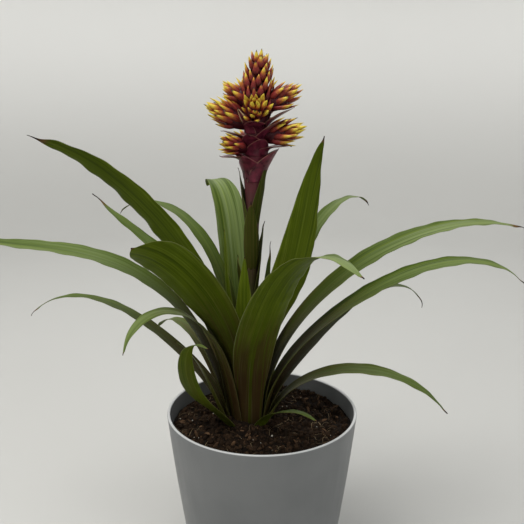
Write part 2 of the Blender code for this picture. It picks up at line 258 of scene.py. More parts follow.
def three(tree, x, y, z):
    """Three numbers joined into a vector."""
    node = tree.nodes.new("ShaderNodeCombineXYZ")
    for socket, value in zip(node.inputs, (x, y, z)):
        feed(tree, socket, value)
    return node.outputs[0]


def stretched(tree, vector, scale):
    """A vector with each axis multiplied by its own number."""
    node = tree.nodes.new("ShaderNodeMapping")
    tree.links.new(vector, node.inputs["Vector"])
    node.inputs["Scale"].default_value = scale
    return node.outputs[0]


# %% Patterns, blends and bumps
def mottle(tree, vector, scale, detail=3.0, coarse=0.5):
    """Noise between 0 and 1, at so many cells in a unit."""
    node = tree.nodes.new("ShaderNodeTexNoise")
    tree.links.new(vector, node.inputs["Vector"])
    node.inputs["Scale"].default_value = scale
    node.inputs["Detail"].default_value = detail
    node.inputs["Roughness"].default_value = coarse
    return node.outputs[0]


def spread(tree, value, low, high, first=0.0, last=1.0):
    """Carry a value from low..high to first..last along an S."""
    node = tree.nodes.new("ShaderNodeMapRange")
    node.interpolation_type = "SMOOTHSTEP"
    feed(tree, node.inputs["Value"], value)
    for key, number in zip(("From Min", "From Max", "To Min", "To Max"), (low, high, first, last)):
        node.inputs[key].default_value = number
    return node.outputs[0]


def blended(tree, share, a, b):
    """Colour a where the share is 0, colour b where it is 1."""
    node = tree.nodes.new("ShaderNodeMix")
    node.data_type = "RGBA"
    feed(tree, node.inputs[0], share)
    feed(tree, node.inputs[6], a)
    feed(tree, node.inputs[7], b)
    return node.outputs[2]


def raised(tree, shader, height, depth, strength=1.0):
    """Bump from a height of 0 to 1 standing so many metres high."""
    node = tree.nodes.new("ShaderNodeBump")
    node.inputs["Strength"].default_value = strength
    node.inputs["Distance"].default_value = depth
    tree.links.new(height, node.inputs["Height"])
    tree.links.new(node.outputs[0], shader.inputs["Normal"])


# %% [markdown]
# ## The pot
# A plain injection-moulded pot: a thin wall, a cone that draws in a little faster towards the foot,
# and a small round on the rim that catches the light as a fine bright line, made brighter with a
# painted highlight on the rim's top. It could be a cone with Solidify and Bevel modifiers, but those
# give the cone one slope and both edges one round. So its profile is drawn once and carried round
# the vertical. More steps than the measured solid has keep the outline smooth, and the inside wall
# goes down to the floor because it shows above the mix.

# %% Pot dimensions
POT_HEIGHT, RIM_RADIUS, POT_WALL, POT_FLOOR = 0.170, 0.095, 0.003, 0.004
RIM_ROUND, FOOT_ROUND = 0.0012, 0.005
TAPER_LINEAR, TAPER_CURVE = 0.10, 0.20
QUARTER_POINTS, WALL_POINTS, POT_STEPS, POLE_RADIUS = 7, 24, 224, 0.002
SOIL_DEPTH = 0.016
SOIL_Z = POT_HEIGHT - SOIL_DEPTH
PLANT_X, PLANT_Y = -0.013, 0.010


def pot_radius(z):
    """Rim radius less a part that grows with the depth below the rim and a part with its square."""
    below = POT_HEIGHT - z
    return RIM_RADIUS - TAPER_LINEAR * below - TAPER_CURVE * below * below


def quarter(radius, height, size, start):
    """Points on a quarter circle of a size about a centre, from a starting angle in degrees."""
    turn = np.radians(start + np.linspace(0.0, 90.0, QUARTER_POINTS))
    return np.stack([radius + size * np.cos(turn), height + size * np.sin(turn)], axis=1)


def turned(name, profile, steps, finish):
    """A profile of (radius, height) that begins and ends on the axis, carried once round it.

    The two points on the axis are left out, and a many-sided face closes each pole instead."""
    turn = circle(steps)
    radius, height = profile[1:-1, 0][:, None], profile[1:-1, 1][:, None]
    rings = np.stack([radius * np.cos(turn), radius * np.sin(turn), height + 0.0 * turn], axis=-1)
    faces, caps = tube(len(rings), steps)
    return make_mesh(name, rings, faces, caps, finish=finish)


print("the foot is", round(2.0 * pot_radius(FOOT_ROUND), 4), "m across, the rim", 2.0 * RIM_RADIUS, "m")


# %% Pot finish
pot_finish, tree, shader = new_finish("pot_satin_plastic", 0.42)
here = placed(tree)
cloud = mottle(tree, here, 14.0, 4.0)
grain = mottle(tree, here, 1500.0, 2.0)
streak = mottle(tree, stretched(tree, here, (90.0, 90.0, 5.0)), 1.0, 3.0)
colour = blended(tree, spread(tree, cloud, 0.3, 0.7), (0.128, 0.134, 0.137), (0.150, 0.156, 0.158))
colour = blended(tree, spread(tree, streak, 0.55, 0.80, 0.0, 0.35), colour, (0.172, 0.177, 0.178))
# Painted highlight: the top millimetre of the rim is painted pale, standing in for the bright line of light
# it catches.
painted_rim_highlight = spread(tree, height_of(tree), POT_HEIGHT - 0.0010, POT_HEIGHT - 0.0002)
colour = blended(tree, painted_rim_highlight, colour, (0.46, 0.47, 0.47))
feed(tree, shader.inputs["Base Color"], colour)
feed(tree, shader.inputs["Roughness"], spread(tree, streak, 0.2, 0.8, 0.36, 0.48))
raised(tree, shader, grain, 0.00006, 0.35)
print("finish", pot_finish.name)

# %% Turn the pot
inner_foot = pot_radius(POT_FLOOR) - POT_WALL
foot_radius = pot_radius(FOOT_ROUND)
wall_heights = np.linspace(FOOT_ROUND, POT_HEIGHT - RIM_ROUND, WALL_POINTS)
inside_heights = np.linspace(POT_HEIGHT - RIM_ROUND, POT_FLOOR + POT_WALL, WALL_POINTS)
pot_profile = np.concatenate([
    [(0.0, 0.0), (POLE_RADIUS, 0.0)],
    quarter(foot_radius - FOOT_ROUND, FOOT_ROUND, FOOT_ROUND, 270.0),
    np.stack([pot_radius(wall_heights), wall_heights], axis=1)[1:-1],
    quarter(RIM_RADIUS - RIM_ROUND, POT_HEIGHT - RIM_ROUND, RIM_ROUND, 0.0),
    quarter(RIM_RADIUS - POT_WALL + RIM_ROUND, POT_HEIGHT - RIM_ROUND, RIM_ROUND, 90.0),
    np.stack([pot_radius(inside_heights) - POT_WALL, inside_heights], axis=1)[1:],
    [(inner_foot - 0.004, POT_FLOOR), (POLE_RADIUS, POT_FLOOR), (0.0, POT_FLOOR)],
])
pot = turned("pot_shell", pot_profile, POT_STEPS, pot_finish)
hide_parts("pot")
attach(pot, "root")
print("pot", len(pot.data.polygons), "faces, rim", 2.0 * RIM_RADIUS, "m across")

# %% [markdown]
# ## The potting mix
# The mix is peat and bark: a dark crumbly bed that mounds a little and sinks against the wall. It
# could be a plane with a Displace modifier; a polar grid is used because its outer ring follows the
# round wall. Its heights add four sizes of soft bumps, and it is pushed up round the feet of the
# leaves, because the plant is firmed in with the fingers. Loose crumbs, bark, pale grit and root
# fibres are strewn over it as small meshes, since a bump map alone would leave the edge too clean.

# %% Mix finish
mix_finish, tree, shader = new_finish("potting_mix_crumb", 0.9)
here = placed(tree)
fine = mottle(tree, here, 900.0, 6.0, 0.65)
patch = mottle(tree, here, 120.0, 4.0)
fleck = mottle(tree, here, 420.0, 2.0)
colour = blended(tree, spread(tree, patch, 0.30, 0.70), (0.0036, 0.0019, 0.0008), (0.017, 0.0090, 0.0042))
colour = blended(tree, spread(tree, fine, 0.55, 0.85, 0.0, 0.6), colour, (0.044, 0.024, 0.0115))
colour = blended(tree, spread(tree, fleck, 0.76, 0.82, 0.0, 0.5), colour, (0.20, 0.14, 0.09))
feed(tree, shader.inputs["Base Color"], colour)
feed(tree, shader.inputs["Roughness"], spread(tree, patch, 0.3, 0.7, 0.80, 0.96))
shader.inputs["Specular IOR Level"].default_value = 0.12
raised(tree, shader, fine, 0.0012, 0.8)
print("finish", mix_finish.name)


# %% Height of the mix
MIX_REACH, MIX_MOUND = 0.090, 0.0015
RIDGE_HEIGHT, RIDGE_RADIUS, RIDGE_WIDTH = 0.0030, 0.026, 0.010
HOLLOW_DEPTH, HOLLOW_RADIUS = 0.0035, 0.018
MIX_BUMPS = [(0.0050, 70.0, 11), (0.0040, 170.0, 12), (0.0019, 430.0, 13), (0.0010, 900.0, 14)]


def mix_height(x, y):
    """Level of the mix: a low mound, a ridge round the plant's foot, a hollow in it, and soft bumps.

    Each row of the bumps is a height, how many to a metre, and a seed. They calm down at the wall."""
    out = np.hypot(x, y) / MIX_REACH
    from_plant = np.hypot(x - PLANT_X, y - PLANT_Y)
    level = SOIL_Z + MIX_MOUND * np.sin(math.pi * np.clip(out, 0.0, 1.0))
    level = level + RIDGE_HEIGHT * np.exp(-((from_plant - RIDGE_RADIUS) / RIDGE_WIDTH) ** 2)
    level = level - HOLLOW_DEPTH * (1.0 - smooth_step(from_plant / HOLLOW_RADIUS))
    rough = sum(height * lumpy(x, y, cells, seed) for height, cells, seed in MIX_BUMPS)
    return level + rough * (1.0 - 0.55 * smooth_step((out - 0.93) / 0.07))


print("mix level in the pot's middle", round(float(mix_height(np.array(0.0), np.array(0.0))), 4), "m")


# %% Lay the mix in the pot
MIX_STEPS, MIX_RINGS, SIDE_RINGS, MIX_GAP = 340, 150, 12, 0.0003
turn = circle(MIX_STEPS)
side_heights = np.linspace(POT_FLOOR + 0.004, SOIL_Z - 0.004, SIDE_RINGS)
side = pot_radius(side_heights) - POT_WALL - MIX_GAP
edge = pot_radius(SOIL_Z) - POT_WALL - 0.0004
top = edge * np.linspace(1.0, 0.004, MIX_RINGS) ** 0.9
radius = np.concatenate([[POLE_RADIUS, side[0] - 0.004], side, top])[:, None]
x, y = radius * np.cos(turn), radius * np.sin(turn)
level = np.concatenate([[POT_FLOOR + MIX_GAP] * 2, side_heights, np.zeros(MIX_RINGS)])[:, None] + 0.0 * turn
level[-MIX_RINGS:] = mix_height(x[-MIX_RINGS:], y[-MIX_RINGS:])
faces, caps = tube(len(radius), MIX_STEPS)
mix = make_mesh("mix_bed", np.stack([x, y, level], axis=-1), faces, caps, finish=mix_finish)
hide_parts("potting_mix")
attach(mix, "root")
print("mix", len(mix.data.polygons), "faces, top", round(float(level[-MIX_RINGS:].max()), 4), "m")


# %% Strew things over the mix
STREWN_REACH, CLEAR_OF_PLANT = 0.087, 0.024


def strewn(count, seed):
    """Places over the mix: radius by the square root of a random share, so they spread evenly."""
    chance = np.random.default_rng(seed)
    out = np.sqrt(chance.uniform(0.0, 1.0, count)) * STREWN_REACH
    turn = chance.uniform(0.0, 2.0 * math.pi, count)
    x, y = out * np.cos(turn), out * np.sin(turn)
    keep = np.hypot(x - PLANT_X, y - PLANT_Y) > CLEAR_OF_PLANT
    return chance, x[keep], y[keep]


def turns(chance, count):
    """Random rotation matrices, from random quaternions of length one."""
    w, x, y, z = unit(chance.normal(size=(count, 4))).T
    rows = [[1 - 2 * (y * y + z * z), 2 * (x * y - z * w), 2 * (x * z + y * w)],
            [2 * (x * y + z * w), 1 - 2 * (x * x + z * z), 2 * (y * z - x * w)],
            [2 * (x * z - y * w), 2 * (y * z + x * w), 1 - 2 * (x * x + y * y)]]
    return np.array(rows).transpose(2, 0, 1)


def strewn_finish(name, dark, pale, roughness):
    """A rough finish between two colours, by each lump's own tone, with a fine mottle."""
    made, tree, shader = new_finish(name, roughness)
    tone, _, _ = carried(tree, "tone")
    fine = mottle(tree, placed(tree), 1100.0, 4.0, 0.6)
    share = plus(tree, times(tree, tone, 0.75), times(tree, fine, 0.3))
    feed(tree, shader.inputs["Base Color"], blended(tree, share, dark, pale))
    raised(tree, shader, fine, 0.0006, 0.7)
    shader.inputs["Specular IOR Level"].default_value = 0.15
    return made


print("of 100 places", len(strewn(100, 1)[1]), "are clear of the plant's foot")


# %% Crumbs, bark and grit
LUMP_SIDES = 6


def lumps(name, count, seed, small, large, squash, finish, sink=0.2):
    """Lumps of three uneven rings of six points closed at both ends, each turned its own way."""
    chance, x, y = strewn(count, seed)
    count = len(x)
    spin = circle(LUMP_SIDES)
    level = np.array([-0.75, 0.0, 0.75])[:, None]
    ring = np.array([0.62, 1.0, 0.62])[:, None]
    shape = np.stack([ring * np.cos(spin), ring * np.sin(spin), level + 0.0 * spin], axis=-1).reshape(-1, 3)
    size = chance.uniform(0.0, 1.0, count) ** 2.2 * (large - small) + small
    shape = shape[None] * (1.0 + chance.uniform(-0.28, 0.28, (count, len(shape), 3)))
    shape = shape * np.array(squash) * size[:, None, None]
    shape = np.einsum("kij,knj->kni", turns(chance, count), shape)
    centre = np.stack([x, y, mix_height(x, y) + size * (0.5 - sink)], axis=-1)
    points = shape + centre[:, None, :]
    faces, caps = tubes(count, len(level), LUMP_SIDES)
    tone = np.repeat(chance.uniform(0.0, 1.0, (count, 3)), points.shape[1], axis=0)
    made = make_mesh(name, points, faces, caps, {"tone": tone}, finish, smooth=False)
    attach(made, "root")
    return made


crumb_finish = strewn_finish("peat_crumb", (0.0045, 0.0024, 0.0011), (0.040, 0.022, 0.011), 0.93)
bark_finish = strewn_finish("bark_chip", (0.030, 0.016, 0.008), (0.15, 0.085, 0.045), 0.85)
grit_finish = strewn_finish("pale_grit", (0.42, 0.38, 0.30), (0.80, 0.77, 0.70), 0.75)
crumbs = lumps("mix_crumbs", 2600, 21, 0.0006, 0.0030, (1.0, 0.9, 0.8), crumb_finish)
bark = lumps("mix_bark", 170, 22, 0.0010, 0.0036, (1.5, 0.55, 0.42), bark_finish, 0.1)
grit = lumps("mix_grit", 60, 23, 0.0004, 0.0012, (1.0, 1.0, 0.8), grit_finish, 0.0)
print("strewn", len(crumbs.data.polygons), len(bark.data.polygons), len(grit.data.polygons), "faces")


# %% Root fibres
FIBRE_RINGS, FIBRE_REACH = 7, 0.0875
FIBRE_CORNERS = np.array([0.5, 2.6, 4.7])


def fibres(name, count, seed, finish):
    """Thin bowed threads: a parabola on the mix, lifted in its middle, with a three-sided section."""
    chance, x, y = strewn(count, seed)
    count = len(x)
    t = np.linspace(0.0, 1.0, FIBRE_RINGS)
    length = chance.uniform(0.006, 0.019, count)
    heading = chance.uniform(0.0, 2.0 * math.pi, count)
    bow = chance.uniform(-0.35, 0.35, count)
    ahead = np.stack([np.cos(heading), np.sin(heading)], axis=-1)
    aside = np.stack([-ahead[:, 1], ahead[:, 0]], axis=-1)
    walk = (t - 0.5)[None, :, None] * length[:, None, None] * ahead[:, None, :]
    curve = (4.0 * t * (1.0 - t))[None, :, None] * (bow * length)[:, None, None] * aside[:, None, :]
    plan = np.stack([x, y], axis=-1)[:, None, :] + walk + curve
    from_middle = np.maximum(np.hypot(plan[..., 0], plan[..., 1]), 1e-9)
    plan = plan * np.minimum(1.0, FIBRE_REACH / from_middle)[..., None]
    lift = chance.uniform(0.0003, 0.0035, count)[:, None] * 4.0 * t * (1.0 - t)
    height = mix_height(plan[..., 0], plan[..., 1]) * 0.35 + (SOIL_Z + 0.0012) * 0.65 + lift
    middle = np.concatenate([plan, height[..., None]], axis=-1)
    thick = chance.uniform(0.00010, 0.00024, count)[:, None, None, None]
    along = unit(np.gradient(middle, axis=1))
    over = unit(np.cross(along, np.array([0.0, 0.0, 1.0])))
    above = np.cross(over, along)
    flank, depth = np.cos(FIBRE_CORNERS)[:, None], np.sin(FIBRE_CORNERS)[:, None]
    section = flank * over[:, :, None, :] + depth * above[:, :, None, :]
    points = middle[:, :, None, :] + thick * section * (1.0 - 0.6 * np.abs(2 * t - 1) ** 3)[:, None, None]
    faces, caps = tubes(count, FIBRE_RINGS, len(FIBRE_CORNERS), flip=True)
    tone = np.repeat(chance.uniform(0.0, 1.0, (count, 3)), FIBRE_RINGS * len(FIBRE_CORNERS), axis=0)
    made = make_mesh(name, points, faces, caps, {"tone": tone}, finish)
    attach(made, "root")
    return made


fibre_finish = strewn_finish("root_fibre", (0.06, 0.038, 0.018), (0.36, 0.27, 0.16), 0.8)
threads = fibres("mix_fibres", 130, 31, fibre_finish)
print("fibres", len(threads.data.polygons), "faces")

# %% [markdown]
# ## The leaves
# Each leaf is one strap: a sheath that wraps the plant's middle, a shallow channel that carries it
# out, and a blade that arches under its own weight to a dry point. It could be a plane bent by curve
# modifiers, but twenty-three such stacks are hard to keep apart. So the midrib is walked step by step
# with its climb angle given by a cubic through four angles, and every cross-section is an arc. The
# arc has the plant's own axis as its centre at the foot, so the sheaths nest, and opens further up.
# The leaf is then given two skins a little apart, thick in the middle and thin at its margins.

# %% The rosette's table
# name, ring, azimuth, sweep, length, width, taper, roll, climb at one third, at two thirds and at the
# tip, degrees each half may wrap; then the leaf's look: dry tip and waviness in metres, pale band,
# tone, purple foot
LEAVES = [
    ("leaf_01", 0, 200, 0, 0.206, 0.034, 1.8, 0, 81, 88, 86, 80, 0.003, 0.0003, 0.1, 0.42, 0.1),
    ("leaf_02", 0, 30, 0, 0.190, 0.024, 2.0, 0, 83, 84, 82, 46, 0.026, 0.0003, 0.1, 0.40, 0.1),
    ("leaf_03", 1, 261, 0, 0.183, 0.036, 1.8, 0, 78, 91, 96, 66, 0.003, 0.0003, 0.1, 0.42, 0.2),
    ("leaf_04", 2, 103, 16, 0.297, 0.036, 9.0, 0, 66, 62, -55, 46, 0.002, 0.0004, 1.0, 0.95, 0.3),
    ("leaf_05", 2, 200, 2, 0.372, 0.034, 5.5, 38, 63, 47, 15, 46, 0.026, 0.0012, 0.2, 0.50, 0.6),
    ("leaf_06", 2, 324, -3, 0.306, 0.056, 2.2, -32, 70, 78, 66, 46, 0.009, 0.0010, 0.2, 0.45, 0.6),
    ("leaf_07", 4, 276, 25, 0.368, 0.043, 3.2, 0, 45, 37, -28, 42, 0.005, 0.0007, 0.8, 0.45, 1.0),
    ("leaf_08", 3, 44, 3, 0.321, 0.030, 2.6, 0, 61, 35, -43, 46, 0.016, 0.0009, 0.7, 0.70, 0.5),
    ("leaf_09", 1, 150, 9, 0.309, 0.024, 4.5, 0, 72, 35, -45, 40, 0.008, 0.0006, 0.2, 0.30, 0.5),
    ("leaf_10", 5, 208, 20, 0.228, 0.027, 2.8, -8, 66, 16, -83, 44, 0.004, 0.0006, 0.7, 0.50, 1.0),
    ("leaf_11", 4, 11, 4, 0.392, 0.031, 4.0, 12, 43, 15, -20, 46, 0.026, 0.0010, 0.8, 0.55, 0.8),
    ("leaf_12", 3, 234, 20, 0.303, 0.040, 12.0, 36, 57, 37, 13, 46, 0.003, 0.0006, 0.2, 0.45, 0.9),
    ("leaf_13", 5, 0, 3, 0.352, 0.029, 4.0, 10, 40, 16, -54, 46, 0.024, 0.0009, 0.5, 0.55, 0.9),
    ("leaf_14", 6, 163, 3, 0.286, 0.026, 2.6, -15, 69, 41, 46, 44, 0.026, 0.0007, 0.3, 0.45, 0.7),
    ("leaf_15", 6, 8, 7, 0.248, 0.027, 4.0, 0, 49, 28, -87, 46, 0.022, 0.0006, 0.4, 0.50, 0.9),
    ("leaf_16", 7, 177, 14, 0.366, 0.030, 5.0, -12, 54, 14, 23, 46, 0.010, 0.0008, 0.7, 0.55, 0.9),
    ("leaf_17", 7, 351, -7, 0.219, 0.025, 2.6, 8, 25, -11, -55, 46, 0.010, 0.0008, 0.6, 0.50, 0.6),
    ("leaf_18", 8, 163, 19, 0.270, 0.021, 3.0, 0, 41, 19, -57, 46, 0.016, 0.0007, 0.3, 0.40, 0.8),
    ("leaf_19", 8, 299, 9, 0.115, 0.014, 2.2, 0, 33, 20, -19, 46, 0.006, 0.0003, 0.2, 0.75, 0.1),
    ("leaf_20", 9, 204, 0, 0.116, 0.018, 2.2, 0, 69, 62, 34, 46, 0.004, 0.0003, 0.2, 0.40, 0.7),
    ("leaf_21", 10, 224, 95, 0.197, 0.020, 2.4, 0, 46, 55, -17, 46, 0.004, 0.0004, 0.4, 0.70, 0.4),
    ("leaf_22", 9, 84, 0, 0.230, 0.028, 2.6, 0, 45, 8, -45, 46, 0.008, 0.0007, 0.5, 0.55, 0.8),
    ("leaf_23", 10, 128, 0, 0.200, 0.026, 2.6, 0, 38, 0, -50, 46, 0.008, 0.0007, 0.5, 0.52, 0.8),
]
CROWN_TOP = SOIL_Z - 0.006
LEAF_Z = CROWN_TOP + 0.0009
MIDRIB_STEPS = 480
RING_FIRST, RING_STEP = 0.0088, 0.0016
SHEATH_FIRST, SHEATH_STEP = 0.066, 0.0085
FOOT_STEEP, FOOT_LEAN, CHANNEL_RADIUS = 87.0, 0.25, 0.045
print("leaves", len(LEAVES), "longest", max(row[4] for row in LEAVES), "m")


# %% Walk a midrib
def midrib(start, azimuth, sweep, length, sheath, climb):
    """Straight up the sheath, then on with a climb angle from a cubic through four angles.

    The heading turns by the sweep times the share walked to the power 1.5, and the line is the
    running sum of steps of cos(climb) along the heading and sin(climb) upwards."""
    walked = np.linspace(0.0, 1.0, MIDRIB_STEPS + 1)
    straight = sheath / length
    t = np.clip((walked - straight) / (1.0 - straight), 0.0, 1.0)
    foot, third, two_thirds, tip = climb
    angle = foot * (1.0 - 3.0 * t) * (1.0 - 1.5 * t) * (1.0 - t)
    angle = angle + third * 9.0 * t * (1.0 - 1.5 * t) * (1.0 - t)
    angle = angle - two_thirds * 4.5 * t * (1.0 - 3.0 * t) * (1.0 - t)
    angle = angle + tip * t * (1.0 - 3.0 * t) * (1.0 - 1.5 * t)
    e, h = np.radians(angle), np.radians(azimuth + sweep * t ** 1.5)
    step = np.stack([np.cos(e) * np.cos(h), np.cos(e) * np.sin(h), np.sin(e)], axis=1)
    walk = (step[1:] + step[:-1]) * 0.5 * length / MIDRIB_STEPS
    return walked, np.vstack([np.zeros(3), np.cumsum(walk, axis=0)]) + np.array(start), e, h


# %% Lay an arc across the midrib
def strap(across, along, start, axis, azimuth, sweep, length, sheath, width, taper, roll, climb,
          wrap, channel, narrow=None):
    """The middle surface of a strap: across runs -1 to 1 over its width, along 0 to 1 up its length.

    The point is the midrib plus an arc: radius times sin(angle) sideways, radius times
    (1 - cos(angle)) towards the upper face. The angle is across times half the width over the
    radius. The radius is the distance to the plant's axis at the foot and the channel's further up,
    and half the width never passes what wraps the plant by the given degrees."""
    t, line, elevation, heading = midrib(start, azimuth, sweep, length, sheath, climb)
    mid = np.stack([np.interp(along, t, line[:, k]) for k in range(3)], axis=-1)
    e, h = np.interp(along, t, elevation), np.interp(along, t, heading)
    reach = np.hypot(mid[..., 0] - axis[0], mid[..., 1] - axis[1])
    radius = (reach ** -4.0 + channel ** -4.0) ** -0.25
    half = 0.5 * width * np.clip(1.0 - along ** taper, 0.0, 1.0) ** 0.95
    half = half * (1.0 + 0.12 * (1.0 - smooth_step(along / 0.25))) + 0.0004
    half = (half ** -4.0 + (radius * math.radians(wrap)) ** -4.0) ** -0.25
    if narrow is not None:
        half = half * narrow
    turn = smooth_step((reach - 1.3 * reach.min()) / 0.030)
    level = e * turn + 0.5 * math.pi * (1.0 - turn)
    side = np.stack([-np.sin(h), np.cos(h), 0.0 * h], axis=-1)
    up = np.stack([-np.sin(level) * np.cos(h), -np.sin(level) * np.sin(h), np.cos(level)], axis=-1)
    twist = (np.radians(roll) * smooth_step((along - 0.25) / 0.35))[..., None]
    side, up = side * np.cos(twist) + up * np.sin(twist), up * np.cos(twist) - side * np.sin(twist)
    angle = across * half / radius
    lateral, lift = (radius * np.sin(angle))[..., None], (radius * (1.0 - np.cos(angle)))[..., None]
    return mid + lateral * side + lift * up, half


# %% Two skins from one surface
def two_skins(sheet, half_thick):
    """Ring each row of a sheet with its upper points, then its lower points the other way.

    The upper face is the one that the cross product of along and across points out of."""
    along, across = np.gradient(sheet, axis=0), np.gradient(sheet, axis=1)
    normal = unit(np.cross(along, across))
    upper = sheet + normal * half_thick[..., None]
    lower = sheet - normal * half_thick[..., None]
    return np.concatenate([upper, lower[:, ::-1]], axis=1)


def both(value):
    """The values of a sheet repeated for its two skins, in the order that two_skins uses."""
    return np.concatenate([value, value[:, ::-1]], axis=1)


# %% A strap as one closed piece
LONG_WAVE, SHORT_WAVE, PLEAT_PITCH, PLEAT_DEPTH = 0.043, 0.021, 0.0042, 0.00010
WILT_PITCH, WILT_DEPTH, DRY_NARROWING = 0.0045, 0.0012, 0.62


def strap_piece(name, rows, columns, shape, thick, wave, dry, look, seed, finish):
    """A closed strap with wavy margins and a dry, shrunken, slightly curled tip.

    Its points carry their place (metres across and along, and a number for the piece), their state
    (upper face, dryness, nearness to the margin), the piece's look and the share walked."""
    u = np.linspace(-1.0, 1.0, columns)
    u = np.sign(u) * (1.0 - (1.0 - np.abs(u)) ** 1.25)
    v = 1.0 - (1.0 - np.linspace(0.0, 1.0, rows)) ** 1.3
    across, along = np.meshgrid(u, v)
    length = shape["length"]
    from_tip = (1.0 - along) * length
    dried = 1.0 - smooth_step(from_tip / max(dry, 0.001))
    sheet, half = strap(across, along, narrow=1.0 - DRY_NARROWING * dried, **shape)
    chance = np.random.default_rng(seed)
    phase = chance.uniform(0.0, 2.0 * math.pi, 4)
    metres = along * length
    normal = unit(np.cross(np.gradient(sheet, axis=0), np.gradient(sheet, axis=1)))
    ripple = np.sin(metres * 2 * math.pi / LONG_WAVE + phase[0] + 1.3 * across)
    ripple = ripple + 0.6 * np.sin(metres * 2 * math.pi / SHORT_WAVE + phase[1] - 0.9 * across)
    ripple = ripple * across ** 2 * smooth_step((along - 0.30) / 0.30) * 0.5 * wave
    pleat = np.sin(across * half * 2.0 * math.pi / PLEAT_PITCH + phase[2])
    pleat = PLEAT_DEPTH * pleat * (1.0 - across ** 2)
    wilt = dried * WILT_DEPTH * np.sin(from_tip / WILT_PITCH + phase[3])
    sheet = sheet + normal * (ripple + pleat + wilt)[..., None]
    skin = thick * (0.30 + 0.70 * np.sqrt(np.clip(1.0 - across ** 2, 0.0, 1.0))) * (1.0 - 0.45 * along)
    points = two_skins(sheet, 0.5 * skin)
    faces, caps = tube(rows, 2 * columns, flip=True)
    upper = np.concatenate([np.ones_like(across), np.zeros_like(across)], axis=1)
    values = {
        "place": np.stack([both(across * half), both(metres), np.full_like(upper, 0.37 * seed)], axis=-1),
        "state": np.stack([upper, both(dried), both(np.abs(across))], axis=-1),
        "look": np.broadcast_to(look, upper.shape + (3,)),
        "walked": np.stack([both(along), 0.0 * upper, 0.0 * upper], axis=-1),
    }
    made = make_mesh(name, points, faces, caps, values, finish)
    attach(made, "root")
    return made


# %% [markdown]
# ## Leaf finish
# A bromeliad leaf is waxy: its upper face is a greyed green with pale bands that run its length, its
# underside a deep olive, and the sheath is brown-purple between green lines. On the upper face the
# pale bands grow towards the outer part of the leaf, partly as painted sheen, and the face is painted
# darker deep in the rosette as painted shade. The veins are close parallel lines. Painting this by
# hand would need an unwrapped leaf and a picture file. It all follows the leaf, so the noise is read
# from the distance across and along each leaf, stretched until it becomes lines, and not from the room.


# %% Lines along a leaf
# name, cells in a metre across and along, detail
LEAF_LINES = [
    ("veins", 1500.0, 9.0, 2.0),
    ("stripes", 560.0, 5.0, 2.0),
    ("bands", 230.0, 5.0, 2.0),
    ("drift", 60.0, 22.0, 3.0),
]


def leaf_patterns(tree):
    """What the mesh carries, and four noises drawn out along the leaf, all under one name."""
    leaf = SimpleNamespace()
    leaf.x, leaf.y, which = carried(tree, "place")
    leaf.face, leaf.dried, leaf.rim = carried(tree, "state")
    leaf.band, leaf.tone, leaf.purple = carried(tree, "look")
    leaf.share, _, _ = carried(tree, "walked")
    for name, across_scale, along_scale, detail in LEAF_LINES:
        across, along = times(tree, leaf.x, across_scale), times(tree, leaf.y, along_scale)
        setattr(leaf, name, mottle(tree, three(tree, across, along, which), 1.0, detail))
    return leaf


print("lines", [row[0] for row in LEAF_LINES])


# %% Greens of the two faces
def leaf_greens(tree, leaf, upper_dark, upper_pale, under_dark, under_pale):
    """Pale bands on the upper face, an olive underside, then light and dark lines on both.

    The pale bands grow towards the outer part of the leaf: partly its own bands, partly painted sheen.
    The upper face is darkened deep in the rosette with painted shade, where the leaves shade each other."""
    middle = spread(tree, sums(tree, "ABSOLUTE", leaf.x), 0.002, 0.011, 1.0, 0.0)
    pale = plus(tree, times(tree, spread(tree, leaf.bands, 0.36, 0.64), 0.65), times(tree, middle, 0.30))
    # Painted sheen: the pale bands are kept to the outer part of the leaf, where the arch faces the sky;
    # the bands themselves are the leaf's own.
    pale = times(tree, times(tree, pale, leaf.band), spread(tree, leaf.share, 0.34, 0.72))
    top = blended(tree, plus(tree, pale, times(tree, leaf.drift, 0.16)), upper_dark, upper_pale)
    light = plus(tree, times(tree, leaf.drift, 0.60), times(tree, leaf.tone, 0.4))
    green = blended(tree, leaf.face, blended(tree, light, under_dark, under_pale), top)
    green = blended(tree, spread(tree, leaf.stripes, 0.52, 0.70, 0.0, 0.34), green, (0.150, 0.195, 0.022))
    green = blended(tree, spread(tree, leaf.stripes, 0.30, 0.47, 0.42, 0.0), green, (0.010, 0.021, 0.001))
    green = blended(tree, spread(tree, leaf.veins, 0.50, 0.78, 0.0, 0.18), green, (0.180, 0.225, 0.045))
    # Painted shade: the upper face is blended towards a near-black green deep in the rosette.
    shade = times(tree, leaf.face, spread(tree, leaf.share, 0.15, 0.62, 0.62, 0.0))
    return blended(tree, shade, green, (0.024, 0.032, 0.003))


# %% Stained foot, scurf and margin
def leaf_stains(tree, leaf, green):
    """A brown-purple stain between the stripes of the foot, pale scurf on it, and a pale margin."""
    foot = plus(tree, leaf.y, times(tree, plus(tree, leaf.drift, -0.5), 0.09))
    low = spread(tree, foot, 0.050, 0.240, 1.0, 0.0)
    stained = times(tree, low, leaf.purple)
    threshold = plus(tree, leaf.stripes, times(tree, low, 0.13))
    stain = times(tree, stained, spread(tree, threshold, 0.48, 0.64, 0.10, 0.92))
    green = blended(tree, stain, green, (0.042, 0.020, 0.010))
    scurf = times(tree, spread(tree, leaf.veins, 0.60, 0.72, 0.0, 0.5), stained)
    green = blended(tree, scurf, green, (0.130, 0.115, 0.060))
    return blended(tree, spread(tree, leaf.rim, 0.955, 0.99, 0.0, 0.40), green, (0.20, 0.20, 0.08))


